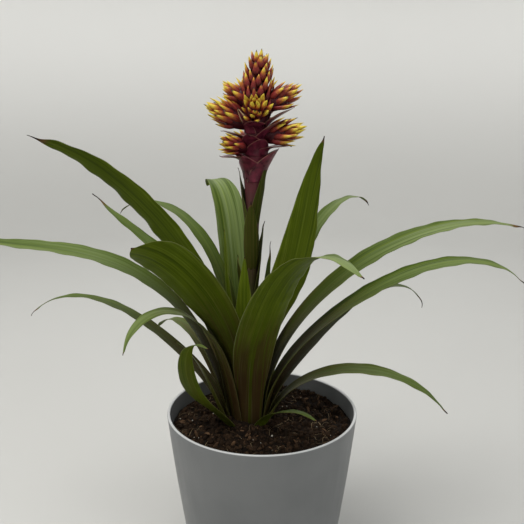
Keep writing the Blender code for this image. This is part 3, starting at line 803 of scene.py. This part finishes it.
# %% Leaf material
def leaf_material(name, upper_dark, upper_pale, under_dark, under_pale, roughness):
    """Greens, stains and a dry brown tip, a little rougher on the stripes and where it is dry."""
    made, tree, shader = new_finish(name, roughness)
    leaf = leaf_patterns(tree)
    green = leaf_greens(tree, leaf, upper_dark, upper_pale, under_dark, under_pale)
    green = leaf_stains(tree, leaf, green)
    dry = spread(tree, plus(tree, leaf.dried, times(tree, leaf.bands, 0.5)), 0.35, 0.75)
    brown = spread(tree, leaf.dried, 0.45, 0.85)
    brown = blended(tree, brown, (0.105, 0.060, 0.025), (0.018, 0.012, 0.009))
    feed(tree, shader.inputs["Base Color"], blended(tree, dry, green, brown))
    shader.inputs["Specular IOR Level"].default_value = 0.035
    rough = spread(tree, leaf.stripes, 0.2, 0.8, roughness - 0.06, roughness + 0.08)
    feed(tree, shader.inputs["Roughness"], plus(tree, rough, times(tree, dry, 0.35)))
    ridges = plus(tree, times(tree, leaf.veins, 0.4), times(tree, leaf.stripes, 0.6))
    raised(tree, shader, ridges, 0.00040, 0.8)
    return made


leaf_finish = leaf_material("leaf_wax", (0.036, 0.062, 0.004), (0.146, 0.190, 0.072),
                            (0.030, 0.048, 0.002), (0.088, 0.122, 0.005), 0.44)
print("finish", leaf_finish.name)

# %% Grow the leaves
LEAF_ROWS, LEAF_COLUMNS, LEAF_THICK, SHEATH_LEAST = 150, 17, 0.0009, 0.003
off = 0.0
for number, row in enumerate(LEAVES):
    name, ring, azimuth, sweep, length, width, taper, roll, third, two_thirds, tip, wrap = row[:12]
    dry, wave, band, tone, purple = row[12:]
    foot = RING_FIRST + RING_STEP * ring
    turn = math.radians(azimuth)
    shape = dict(start=(PLANT_X + foot * math.cos(turn), PLANT_Y + foot * math.sin(turn), LEAF_Z),
                 axis=(PLANT_X, PLANT_Y), azimuth=azimuth, sweep=sweep, length=length,
                 sheath=max(SHEATH_LEAST, SHEATH_FIRST - SHEATH_STEP * ring), width=width, taper=taper,
                 roll=roll, climb=(FOOT_STEEP - FOOT_LEAN * ring * ring, third, two_thirds, tip),
                 wrap=wrap, channel=CHANNEL_RADIUS)
    blade = strap_piece("blade" + name[4:], LEAF_ROWS, LEAF_COLUMNS, shape, LEAF_THICK, wave, dry,
                        (band, tone, purple), number + 1, leaf_finish)
    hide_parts(name)
    points = np.empty(3 * len(blade.data.vertices), np.float32)
    blade.data.vertices.foreach_get("co", points)
    points = points.reshape(-1, 3)
    low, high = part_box(name)
    stray = np.maximum(np.array(low) - points.min(0), points.max(0) - np.array(high))
    off = max(off, float(stray.max()))
print("leaves stand at most", round(1000.0 * off, 2), "mm outside their solids' boxes")

# %% [markdown]
# ## Stalk, swelling and wrapped bracts
# The flower stalk climbs out of the rosette, leans a little, and swells under the flower head. A
# curve object with a bevel and a radius at each point could draw it. Rings along its axis are as
# short to write and can carry the fine flutes of its skin, so it is a tube whose radius is a smooth
# curve through a few measured stations. Leaf-like bracts wrap it one above the other, green with dry
# papery edges; they use the same strap as the leaves, with a tight channel.

# %% Stalk finish
STALK_LEAN, STALK_HEIGHT = 0.0107, 0.366
stalk_finish, tree, shader = new_finish("stalk_skin", 0.42)
shader.inputs["Specular IOR Level"].default_value = 0.22
along, turn, which = carried(tree, "place")
drawn_out = three(tree, times(tree, turn, 900.0), times(tree, along, 14.0), which)
ribs = mottle(tree, drawn_out, 1.0, 3.0)
blush = mottle(tree, placed(tree), 150.0, 4.0)
rise = plus(tree, along, times(tree, plus(tree, blush, -0.5), 0.03))
colour = blended(tree, spread(tree, ribs, 0.35, 0.65), (0.022, 0.028, 0.008), (0.060, 0.075, 0.018))
colour = blended(tree, spread(tree, rise, 0.10, 0.22), colour, (0.070, 0.028, 0.026))
colour = blended(tree, spread(tree, rise, 0.215, 0.262), colour, (0.115, 0.018, 0.030))
colour = blended(tree, spread(tree, ribs, 0.60, 0.80, 0.0, 0.25), colour, (0.22, 0.09, 0.09))
feed(tree, shader.inputs["Base Color"], colour)
feed(tree, shader.inputs["Roughness"], spread(tree, blush, 0.3, 0.7, 0.34, 0.50))
raised(tree, shader, ribs, 0.00030, 0.7)
print("finish", stalk_finish.name)


# %% Draw the stalk
def stalk_axis(height):
    """Where the stalk's middle is at a height above the mix: its lean grows with the height to the 1.7."""
    share = np.maximum(height, 0.0) / STALK_HEIGHT
    return np.stack([PLANT_X + STALK_LEAN * share ** 1.7, PLANT_Y + 0.0 * share, SOIL_Z + height], axis=-1)


# height above the mix, radius
STATIONS = np.array([(-0.0057, 0.0062), (0.04, 0.0062), (0.10, 0.0062), (0.16, 0.0060), (0.208, 0.0062),
                     (0.23, 0.0076), (0.25, 0.0100), (0.262, 0.0115), (0.274, 0.0112), (0.29, 0.0095),
                     (0.308, 0.0078), (0.324, 0.0064)])
STALK_RINGS, STALK_SIDES, SMOOTH_PASSES = 220, 48, 12
FLUTES, FLUTE_DEPTH, STALK_NUMBER = 9, 0.018, 5.0
height = np.linspace(STATIONS[0, 0], STATIONS[-1, 0], STALK_RINGS)
radius = np.interp(height, STATIONS[:, 0], STATIONS[:, 1])
smooth = np.array([1.0, 4.0, 6.0, 4.0, 1.0]) / 16.0
for _ in range(SMOOTH_PASSES):
    radius[2:-2] = np.convolve(radius, smooth, "valid")
turn = circle(STALK_SIDES)
wall = radius[:, None] * (1.0 + FLUTE_DEPTH * np.sin(FLUTES * turn))
around = np.stack([wall * np.cos(turn), wall * np.sin(turn), 0.0 * wall], axis=-1)
rings = stalk_axis(height)[:, None, :] + around
place = np.stack([height[:, None] + 0.0 * wall, wall * np.abs(turn - math.pi), 0.0 * wall + STALK_NUMBER],
                 axis=-1)
faces, caps = tube(STALK_RINGS, STALK_SIDES)
stalk = make_mesh("stalk_skin", rings, faces, caps, {"place": place}, stalk_finish)
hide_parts("flower_stalk")
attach(stalk, "root")
print("stalk", len(stalk.data.polygons), "faces")

# %% The bracts' table
# name, height above the mix, azimuth, length, width, climb at the foot, climb at the tip, foot radius
STALK_BRACTS = [
    ("stalk_bract_1", 0.098, 205, 0.077, 0.022, 84, 85, 0.0058),
    ("stalk_bract_2", 0.126, 20, 0.080, 0.022, 84, 85, 0.0058),
    ("stalk_bract_3", 0.160, 270, 0.068, 0.023, 84, 86, 0.0056),
    ("stalk_bract_4", 0.192, 170, 0.066, 0.022, 84, 84, 0.0056),
    ("stalk_bract_5", 0.204, 330, 0.062, 0.022, 81, 80, 0.0058),
]
BRACT_ROWS, BRACT_COLUMNS, BRACT_THICK, BRACT_WAVE, BRACT_DRY = 70, 19, 0.0008, 0.0008, 0.008
BRACT_LOOK, BRACT_SEED = (0.3, 0.5, 0.5), 40
BRACT_WRAP, BRACT_CHANNEL, BRACT_SHEATH, BRACT_TAPER = 100.0, 0.016, 0.25, 1.7
bract_finish = leaf_material("bract_wax", (0.036, 0.058, 0.008), (0.10, 0.13, 0.035),
                             (0.022, 0.034, 0.003), (0.056, 0.074, 0.008), 0.46)
print("finish", bract_finish.name)


# %% Wrap the bracts
def bract_strap(base, axis, azimuth, length, width, rise, tip, foot, wrap, channel, sheath, taper):
    """A small strap that starts a foot's radius away from an axis and wraps it."""
    turn = math.radians(azimuth)
    start = (axis[0] + foot * math.cos(turn), axis[1] + foot * math.sin(turn), base)
    middle = 0.5 * (rise + tip)
    return dict(start=start, axis=(axis[0], axis[1]), azimuth=azimuth, sweep=0.0, length=length,
                sheath=sheath * length, width=width, taper=taper, roll=0.0,
                climb=(rise, middle, middle, tip), wrap=wrap, channel=channel)


for number, (name, up, azimuth, length, width, rise, tip, foot) in enumerate(STALK_BRACTS):
    base = stalk_axis(up)
    shape = bract_strap(base[2], base, azimuth, length, width, rise, tip, foot,
                        BRACT_WRAP, BRACT_CHANNEL, BRACT_SHEATH, BRACT_TAPER)
    wrap = strap_piece("wrap" + name[12:], BRACT_ROWS, BRACT_COLUMNS, shape, BRACT_THICK, BRACT_WAVE,
                       BRACT_DRY, BRACT_LOOK, BRACT_SEED + number, bract_finish)
    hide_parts(name)
print("bracts", len(STALK_BRACTS))

# %% [markdown]
# ## The flower head
# The head is a cone of pointed scales with eight smaller fans of scales round its foot. A scale is a
# plump, keeled boat: red where it is held, yellow towards its point, and often with a dark dry tip.
# Its foot and flanks are darkened further with painted shade where the scales overlap.
# One scale could be modelled and instanced with geometry nodes. Here all the scales of a cluster are
# worked out at once as arrays and joined in one mesh, so that each has its own size and colour. They
# follow each other by the golden angle, as they do on the plant, and their tips lie on a dome.

# %% Flower finish
flower_finish, tree, shader = new_finish("flower_scale", 0.38)
shader.inputs["Specular IOR Level"].default_value = 0.22
along, across, chance = carried(tree, "scale")
yellow, dark, _ = carried(tree, "shade")
cloud = mottle(tree, placed(tree), 420.0, 3.0)
drawn_out = three(tree, times(tree, across, 9.0), times(tree, along, 1.3), times(tree, chance, 50.0))
lines = mottle(tree, drawn_out, 1.0, 2.0)
ripeness_and_shade = plus(tree, along, times(tree, plus(tree, cloud, -0.5), 0.30))
ripeness_and_shade = plus(tree, ripeness_and_shade, times(tree, plus(tree, yellow, -0.42), 0.55))
# Painted shade between the scales: each scale's flanks are pushed towards the dark red of its foot.
edge = sums(tree, "POWER", sums(tree, "ABSOLUTE", across), 3.0)
ripeness_and_shade = plus(tree, ripeness_and_shade, times(tree, edge, -0.05))
# The near-black maroon at each scale's foot is partly its own red and partly painted shade where the scales
# overlap.
colour = blended(tree, spread(tree, ripeness_and_shade, 0.12, 0.52), (0.040, 0.004, 0.008), (0.170, 0.018, 0.016))
colour = blended(tree, spread(tree, ripeness_and_shade, 0.55, 0.76), colour, (0.38, 0.125, 0.022))
colour = blended(tree, spread(tree, ripeness_and_shade, 0.70, 0.90), colour, (0.58, 0.45, 0.050))
colour = blended(tree, spread(tree, lines, 0.56, 0.74, 0.0, 0.16), colour, (0.34, 0.27, 0.03))
colour = blended(tree, spread(tree, lines, 0.22, 0.40, 0.40, 0.0), colour, (0.10, 0.014, 0.014))
dry_tip = times(tree, dark, spread(tree, along, 0.84, 0.96))
colour = blended(tree, dry_tip, colour, (0.022, 0.010, 0.008))
feed(tree, shader.inputs["Base Color"], colour)
feed(tree, shader.inputs["Roughness"], spread(tree, cloud, 0.3, 0.7, 0.30, 0.46))
raised(tree, shader, lines, 0.00020, 0.6)
print("finish", flower_finish.name)


# %% A scale as a keeled boat
SCALE_ROWS, SCALE_SIDES = 9, 8


def boats(start, aim, outward, length, width, curl):
    """Many scales at once, as rings of eight points along a line that bows outwards.

    The half width rises with the share to the power 0.6 and falls to the point with the power 0.8.
    The outer side stands 0.8 of the half width proud, with a keel, and the inner side 0.35."""
    t = np.linspace(0.0, 1.0, SCALE_ROWS)
    aim = unit(aim)
    outward = unit(outward - aim * np.sum(outward * aim, axis=-1, keepdims=True))
    sideways = np.cross(aim, outward)
    bow = curl[:, None] * np.sin(math.pi * t) + 0.5 * curl[:, None] * t ** 2
    line = start[:, None, :] + length[:, None, None] * (t[None, :, None] * aim[:, None, :]
                                                       + bow[..., None] * outward[:, None, :])
    swell = np.where(t < 0.4, (t / 0.4) ** 0.6 * 0.55 + 0.45, ((1.0 - t) / 0.6) ** 0.8 * 0.97 + 0.03)
    half = 0.5 * width[:, None] * swell
    spin = circle(SCALE_SIDES)
    flank, depth = np.cos(spin), np.sin(spin)
    depth = np.where(depth > 0.0, 0.80 * np.abs(depth) ** 1.2, -0.35 * np.abs(depth))
    section = flank[:, None] * sideways[:, None, None, :] + depth[:, None] * outward[:, None, None, :]
    points = line[:, :, None, :] + half[:, :, None, None] * section
    shares = np.broadcast_to(t[None, :, None], points.shape[:3])
    flanks = np.broadcast_to(flank[None, None, :], points.shape[:3])
    return points, shares, flanks


print("a scale has", SCALE_ROWS, "rings of", SCALE_SIDES, "points")

# %% The side fans' table
# name, height above the mix, azimuth, elevation, reach from the stalk's axis, spread radius,
# scales, scale width, how yellow, share of dark tips
FANS = [
    ("flower_cluster_2", 0.3120, 171, 35, 0.0395, 0.0140, 25, 0.0066, 0.50, 0.25),
    ("flower_cluster_3", 0.3100, 356, 28, 0.0465, 0.0140, 26, 0.0066, 0.42, 0.35),
    ("flower_cluster_4", 0.2935, 191, 27, 0.0530, 0.0140, 28, 0.0066, 0.46, 0.35),
    ("flower_cluster_5", 0.3035, 268, 28, 0.0355, 0.0150, 24, 0.0072, 0.60, 0.05),
    ("flower_cluster_6", 0.2840, 342, 14, 0.0495, 0.0135, 26, 0.0066, 0.54, 0.20),
    ("flower_cluster_7", 0.2745, 212, 15, 0.0405, 0.0105, 19, 0.0062, 0.52, 0.20),
    ("flower_cluster_8", 0.3000, 75, 28, 0.0410, 0.0135, 24, 0.0066, 0.50, 0.25),
    ("flower_cluster_9", 0.2740, 105, 12, 0.0430, 0.0130, 24, 0.0066, 0.50, 0.25),
]
GOLDEN = math.radians(137.508)
print("fans", len(FANS), "scales", sum(row[6] for row in FANS))


# %% Put scales and core together
TIP_SCATTER = 0.0009


def scale_cluster(name, cad_node, start, tip, radial, width, curl, tone, dark, core, seed):
    """One mesh of scales from start to tip, with a rounded core of rings to fill their middle.

    Its points carry their place on the scale (along, across, and a number for the scale) and their
    shade (how yellow, and 1 where the tip is dark)."""
    chance = np.random.default_rng(seed)
    count = len(start)
    tip = tip + chance.normal(0.0, TIP_SCATTER, (count, 3))
    length = np.linalg.norm(tip - start, axis=-1) * chance.uniform(0.86, 1.05, count)
    size = width * chance.uniform(0.82, 1.14, count)
    points, shares, flanks = boats(start, tip - start, radial, length, size, curl)
    flat = points.reshape(-1, 3)
    each = SCALE_ROWS * SCALE_SIDES
    which = np.repeat(chance.uniform(0.0, 1.0, count), each)
    tone = np.repeat(np.clip(tone + chance.uniform(-0.20, 0.20, count), 0.0, 1.0), each)
    tipped = np.repeat((chance.uniform(0.0, 1.0, count) < dark) * 1.0, each)
    rows, sides = core.shape[:2]
    scale = np.concatenate([np.stack([shares.ravel(), flanks.ravel(), which], axis=-1),
                            np.tile([0.1, 0.0, 0.5], (rows * sides, 1))])
    shade = np.concatenate([np.stack([tone, tipped, 0.0 * tone], axis=-1),
                            np.tile([0.3, 0.0, 0.0], (rows * sides, 1))])
    faces, caps = tubes(count, SCALE_ROWS, SCALE_SIDES)
    core_faces, core_caps = tube(rows, sides, len(flat))
    made = make_mesh(name, np.concatenate([flat, core.reshape(-1, 3)]),
                     np.concatenate([faces, core_faces]), caps + core_caps,
                     {"scale": scale, "shade": shade}, flower_finish)
    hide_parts(cad_node)
    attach(made, "root")
    return made


# %% Grow the fans
CORE_SIDES, FAN_CORE_RINGS, FAN_SEED, FAN_CURL = 20, 18, 60, 0.06


def fan(number, row):
    """Scales by the golden angle whose tips lie on a dome at the end of the fan.

    The first scales start near the stalk and end far off the axis; the last start half way out and
    end on the axis. Both distances follow the scale's share of the count."""
    name, up, azimuth, elevation, reach, wide, count, width, yellow, dark = row
    a, e = math.radians(azimuth), math.radians(elevation)
    axis = np.array((math.cos(e) * math.cos(a), math.cos(e) * math.sin(a), math.sin(e)))
    above = np.array((-math.sin(e) * math.cos(a), -math.sin(e) * math.sin(a), math.cos(e)))
    beside = np.cross(axis, above)
    foot = stalk_axis(np.array(up))
    share = (np.arange(count) + 0.5) / count
    turn = GOLDEN * np.arange(count)
    radial = np.cos(turn)[:, None] * above + np.sin(turn)[:, None] * beside
    start = foot + axis * (reach * (0.24 + 0.36 * share))[:, None]
    start = start + radial * (wide * 0.34 * (1.0 - share))[:, None]
    tip = foot + axis * (reach * (0.68 + 0.33 * share ** 0.8))[:, None]
    tip = tip + radial * (wide * (1.0 - share ** 1.4) + 0.0006)[:, None]
    t = np.linspace(0.0, 1.0, FAN_CORE_RINGS)[:, None, None]
    spin = circle(CORE_SIDES)[:, None]
    girth = 0.0012 + wide * 0.56 * np.sin(math.pi * (0.10 + 0.88 * t) ** 1.3) ** 0.8
    core = foot + axis * reach * (0.06 + 0.70 * t) + girth * (np.cos(spin) * above + np.sin(spin) * beside)
    return scale_cluster("scales" + name[14:], name, start, tip, radial, width,
                         np.full(count, FAN_CURL), yellow, dark, core, FAN_SEED + number)


fans = [fan(number, row) for number, row in enumerate(FANS)]
print("fans", sum(len(f.data.polygons) for f in fans), "faces")

# %% Grow the top cone
CONE_SCALES, CONE_CORE_RINGS, CONE_SEED = 66, 24, 59
CONE_WIDTH, CONE_CURL, CONE_DARK = 0.0068, 0.05, 0.40
share = (np.arange(CONE_SCALES) + 0.5) / CONE_SCALES
turn = GOLDEN * np.arange(CONE_SCALES)
radial = np.stack([np.cos(turn), np.sin(turn), 0.0 * turn], axis=-1)
round_off = np.sqrt(np.clip(1.0 - (np.clip(share - 0.22, 0.0, 1.0) / 0.78) ** 3.2, 0.0, 1.0))
tip_radius = (0.0122 + 0.005 * np.minimum(share, 0.35)) * round_off + 0.0008
start = stalk_axis(0.3015 + 0.0510 * share) + radial * (tip_radius * (0.78 - 0.42 * share))[:, None]
tip = stalk_axis(0.3215 + 0.0435 * share) + radial * tip_radius[:, None]
t = np.linspace(0.0, 1.0, CONE_CORE_RINGS)
middle = stalk_axis(0.296 + 0.062 * t)[:, None, :]
spin = circle(CORE_SIDES)
ring = np.stack([np.cos(spin), np.sin(spin), 0.0 * spin], axis=-1)
girth = 0.0105 * np.sqrt(np.clip(1.0 - t ** 2.4, 0.0, 1.0)) + 0.0006
core = middle + girth[:, None, None] * ring
cone = scale_cluster("scales_1", "flower_cluster_1", start, tip, radial, CONE_WIDTH,
                     np.full(CONE_SCALES, CONE_CURL), 0.10 + 0.48 * share, CONE_DARK, core, CONE_SEED)
print("cone", len(cone.data.polygons), "faces")

# %% [markdown]
# ### The cups under the fans
# Each fan sits in its own wine-red bract, a spoon that wraps the stalk and ends in a point under the
# scales, and more of them close the swelling below the head. They could be sculpted one by one. A
# short, broad strap with a steep foot has the same form, so the strap of the leaves is used again.

# %% Cup finish
cup_finish, tree, shader = new_finish("cup_skin", 0.33)
shader.inputs["Specular IOR Level"].default_value = 0.28
x, y, which = carried(tree, "place")
_, dried, rim = carried(tree, "state")
cream, _, _ = carried(tree, "look")
drawn_out = three(tree, times(tree, x, 1100.0), times(tree, y, 30.0), which)
ribs = mottle(tree, drawn_out, 1.0, 3.0)
cloud = mottle(tree, placed(tree), 190.0, 3.0)
colour = blended(tree, spread(tree, cloud, 0.3, 0.7), (0.050, 0.006, 0.014), (0.150, 0.018, 0.038))
colour = blended(tree, spread(tree, ribs, 0.58, 0.78, 0.0, 0.35), colour, (0.28, 0.09, 0.11))
colour = blended(tree, spread(tree, rim, 0.90, 0.99, 0.0, 0.35), colour, (0.42, 0.24, 0.14))
cream_edge = times(tree, cream, spread(tree, y, 0.010, 0.017))
cream_edge = times(tree, cream_edge, spread(tree, rim, 0.35, 0.75))
colour = blended(tree, cream_edge, colour, (0.62, 0.45, 0.27))
colour = blended(tree, spread(tree, dried, 0.3, 0.9), colour, (0.050, 0.020, 0.020))
feed(tree, shader.inputs["Base Color"], colour)
feed(tree, shader.inputs["Roughness"], spread(tree, cloud, 0.3, 0.7, 0.27, 0.42))
raised(tree, shader, ribs, 0.00025, 0.7)
print("finish", cup_finish.name)

# %% The cups' table
# number, height above the mix, azimuth, length, width, climb at the foot, at one third, at two
# thirds, at the tip, foot radius, cream edge
CUPS = [
    (2, 0.2990, 171, 0.030, 0.026, 78, 34, 28, 36, 0.0088, 0.0),
    (3, 0.2920, 356, 0.035, 0.028, 64, 38, 30, 28, 0.0092, 0.1),
    (4, 0.2800, 191, 0.026, 0.032, 76, 26, 20, 28, 0.0110, 0.1),
    (5, 0.2910, 268, 0.022, 0.030, 78, 30, 22, 30, 0.0100, 0.0),
    (6, 0.2710, 342, 0.027, 0.032, 76, 10, 6, 16, 0.0118, 0.0),
    (7, 0.2600, 212, 0.030, 0.030, 72, 18, 4, 8, 0.0116, 0.0),
    (8, 0.2870, 75, 0.034, 0.028, 76, 24, 18, 26, 0.0100, 0.0),
    (9, 0.2600, 105, 0.036, 0.030, 74, 8, 4, 10, 0.0116, 0.0),
    (10, 0.2450, 322, 0.036, 0.036, 84, 64, 54, 46, 0.0102, 0.0),
    (11, 0.2840, 324, 0.034, 0.022, 70, 38, 30, 24, 0.0112, 0.1),
    (12, 0.2900, 236, 0.030, 0.012, 80, 50, 46, 44, 0.0112, 1.0),
    (13, 0.2480, 246, 0.027, 0.036, 84, 64, 52, 44, 0.0102, 0.0),
    (14, 0.2700, 286, 0.022, 0.028, 80, 54, 42, 34, 0.0120, 0.0),
    (15, 0.2760, 255, 0.021, 0.024, 78, 50, 36, 28, 0.0118, 0.0),
    (16, 0.2560, 180, 0.026, 0.030, 82, 60, 46, 36, 0.0112, 0.0),
    (17, 0.2540, 20, 0.026, 0.030, 82, 60, 46, 36, 0.0110, 0.0),
]
CUP_ROWS, CUP_COLUMNS, CUP_THICK, CUP_WAVE, CUP_DRY, CUP_SEED = 44, 17, 0.0008, 0.0004, 0.003, 70
CUP_WRAP, CUP_CHANNEL, CUP_SHEATH, CUP_TAPER = 105.0, 0.016, 0.06, 1.8
print("cups stand from", min(row[1] for row in CUPS), "to", max(row[1] for row in CUPS), "m above the mix")

# %% Wrap the cups
for number, up, azimuth, length, width, rise, third, two_thirds, tip, foot, cream in CUPS:
    base = stalk_axis(up)
    shape = bract_strap(base[2], base, azimuth, length, width, rise, tip, foot,
                        CUP_WRAP, CUP_CHANNEL, CUP_SHEATH, CUP_TAPER)
    shape["climb"] = (rise, third, two_thirds, tip)
    cup = strap_piece(f"cup_{number}", CUP_ROWS, CUP_COLUMNS, shape, CUP_THICK, CUP_WAVE, CUP_DRY,
                      (cream, 0.0, 0.0), CUP_SEED + number, cup_finish)
print("cups", len(CUPS))

# %% [markdown]
# ## The crown
# The stub of stem that carries the leaves is nearly all under the mix. It could be turned again with
# more steps, but hardly any of it shows, so its measured solid stays and only gets a finish: old leaf
# scars as rings, brown and rough.

# %% Crown finish
crown_finish, tree, shader = new_finish("crown_bark", 0.85)
here = placed(tree)
scars = mottle(tree, stretched(tree, here, (40.0, 40.0, 700.0)), 1.0, 4.0)
feed(tree, shader.inputs["Base Color"], blended(tree, scars, (0.030, 0.020, 0.010), (0.13, 0.09, 0.045)))
feed(tree, shader.inputs["Roughness"], spread(tree, scars, 0.3, 0.7, 0.75, 0.95))
raised(tree, shader, scars, 0.0008, 0.8)
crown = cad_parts["crown"]
crown.data.materials.clear()
crown.data.materials.append(crown_finish)
print("crown", crown.name)

# %% [markdown]
# ## Floor, backdrop and light
# The plant stands on a pale floor that curves up into a pale wall all round. A plane and a sky would
# be quicker, but would leave a horizon line; the turned sweep gives every side the same plain
# backdrop. One broad lamp hangs above the front left, as soft daylight from a roof light would, a
# weaker one fills from the right, and one behind lifts the far leaves off the wall.

# %% Stage
stage_finish, tree, shader = new_finish("plaster", 0.9)
patch = mottle(tree, placed(tree), 3.0, 3.0)
# Painted light and shade: the plaster is darker on the floor and paler up the wall, making up for the wall
# getting less lamp light than the floor.
wall = spread(tree, height_of(tree), 0.0, 0.75)
pale = blended(tree, wall, (0.43, 0.43, 0.415), (0.80, 0.80, 0.785))
pale = blended(tree, times(tree, patch, 0.12), pale, (0.60, 0.60, 0.585))
feed(tree, shader.inputs["Base Color"], pale)
WALL_RADIUS, SWEEP_RADIUS, SWEEP_POINTS, STAGE_STEPS = 2.4, 0.8, 24, 128
curve = np.radians(np.linspace(0.0, 90.0, SWEEP_POINTS))
bend_out = WALL_RADIUS - SWEEP_RADIUS * (1.0 - np.sin(curve))
bend_up = SWEEP_RADIUS * (1.0 - np.cos(curve))
sweep = np.concatenate([
    [(0.05, 0.0), (0.6, 0.0), (1.2, 0.0)],
    np.stack([bend_out, bend_up], axis=1),
    [(WALL_RADIUS, 1.6), (WALL_RADIUS, 2.6)],
])
turn = circle(STAGE_STEPS)
out, level = sweep[:, :1], sweep[:, 1:] + 0.0 * turn
rings = np.stack([out * np.cos(turn), out * np.sin(turn), level], axis=-1)
floor = make_mesh("floor", rings, ring_faces(len(sweep), STAGE_STEPS)[:, ::-1], [np.arange(STAGE_STEPS)],
                  finish=stage_finish)
floor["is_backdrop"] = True
print("stage", 2.0 * WALL_RADIUS, "m across")


# %% Lamps and daylight
def lamp(name, place, target, size, power, colour):
    """A square area lamp at a place, facing a target."""
    light = bpy.data.lights.new(name, "AREA")
    light.size = size
    light.energy = power
    light.color = colour
    made = bpy.data.objects.new(name, light)
    bpy.context.scene.collection.objects.link(made)
    made.location = place
    back = np.array(place) - np.array(target)
    flat = math.hypot(back[0], back[1])
    made.rotation_euler = (math.atan2(flat, back[2]), 0.0, math.atan2(back[0], -back[1]))
    return made


# name, place, target, size in metres, power in watts, colour
lamp("roof_light", (-0.7, -0.5, 2.0), (0.0, 0.0, 0.25), 1.3, 42.0, (1.0, 0.985, 0.96))
lamp("fill_light", (1.3, -1.0, 1.2), (0.0, 0.0, 0.3), 1.2, 7.0, (0.95, 0.97, 1.0))
lamp("back_light", (0.3, 1.5, 1.8), (0.0, 0.0, 0.3), 1.2, 12.0, (1.0, 1.0, 1.0))
world = bpy.data.worlds.new("daylight")
world.use_nodes = True
sky = world.node_tree.nodes["Background"]
sky.inputs["Color"].default_value = (0.84, 0.84, 0.83, 1.0)
sky.inputs["Strength"].default_value = 0.56
bpy.context.scene.world = world
bpy.context.scene.view_settings.view_transform = "Standard"
print("lamps", len(bpy.data.lights), "daylight", round(sky.inputs["Strength"].default_value, 2))

# %% [markdown]
# ## Sizes
# The last cell measures the finished model's bounds.

# %% Sizes
low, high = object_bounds()
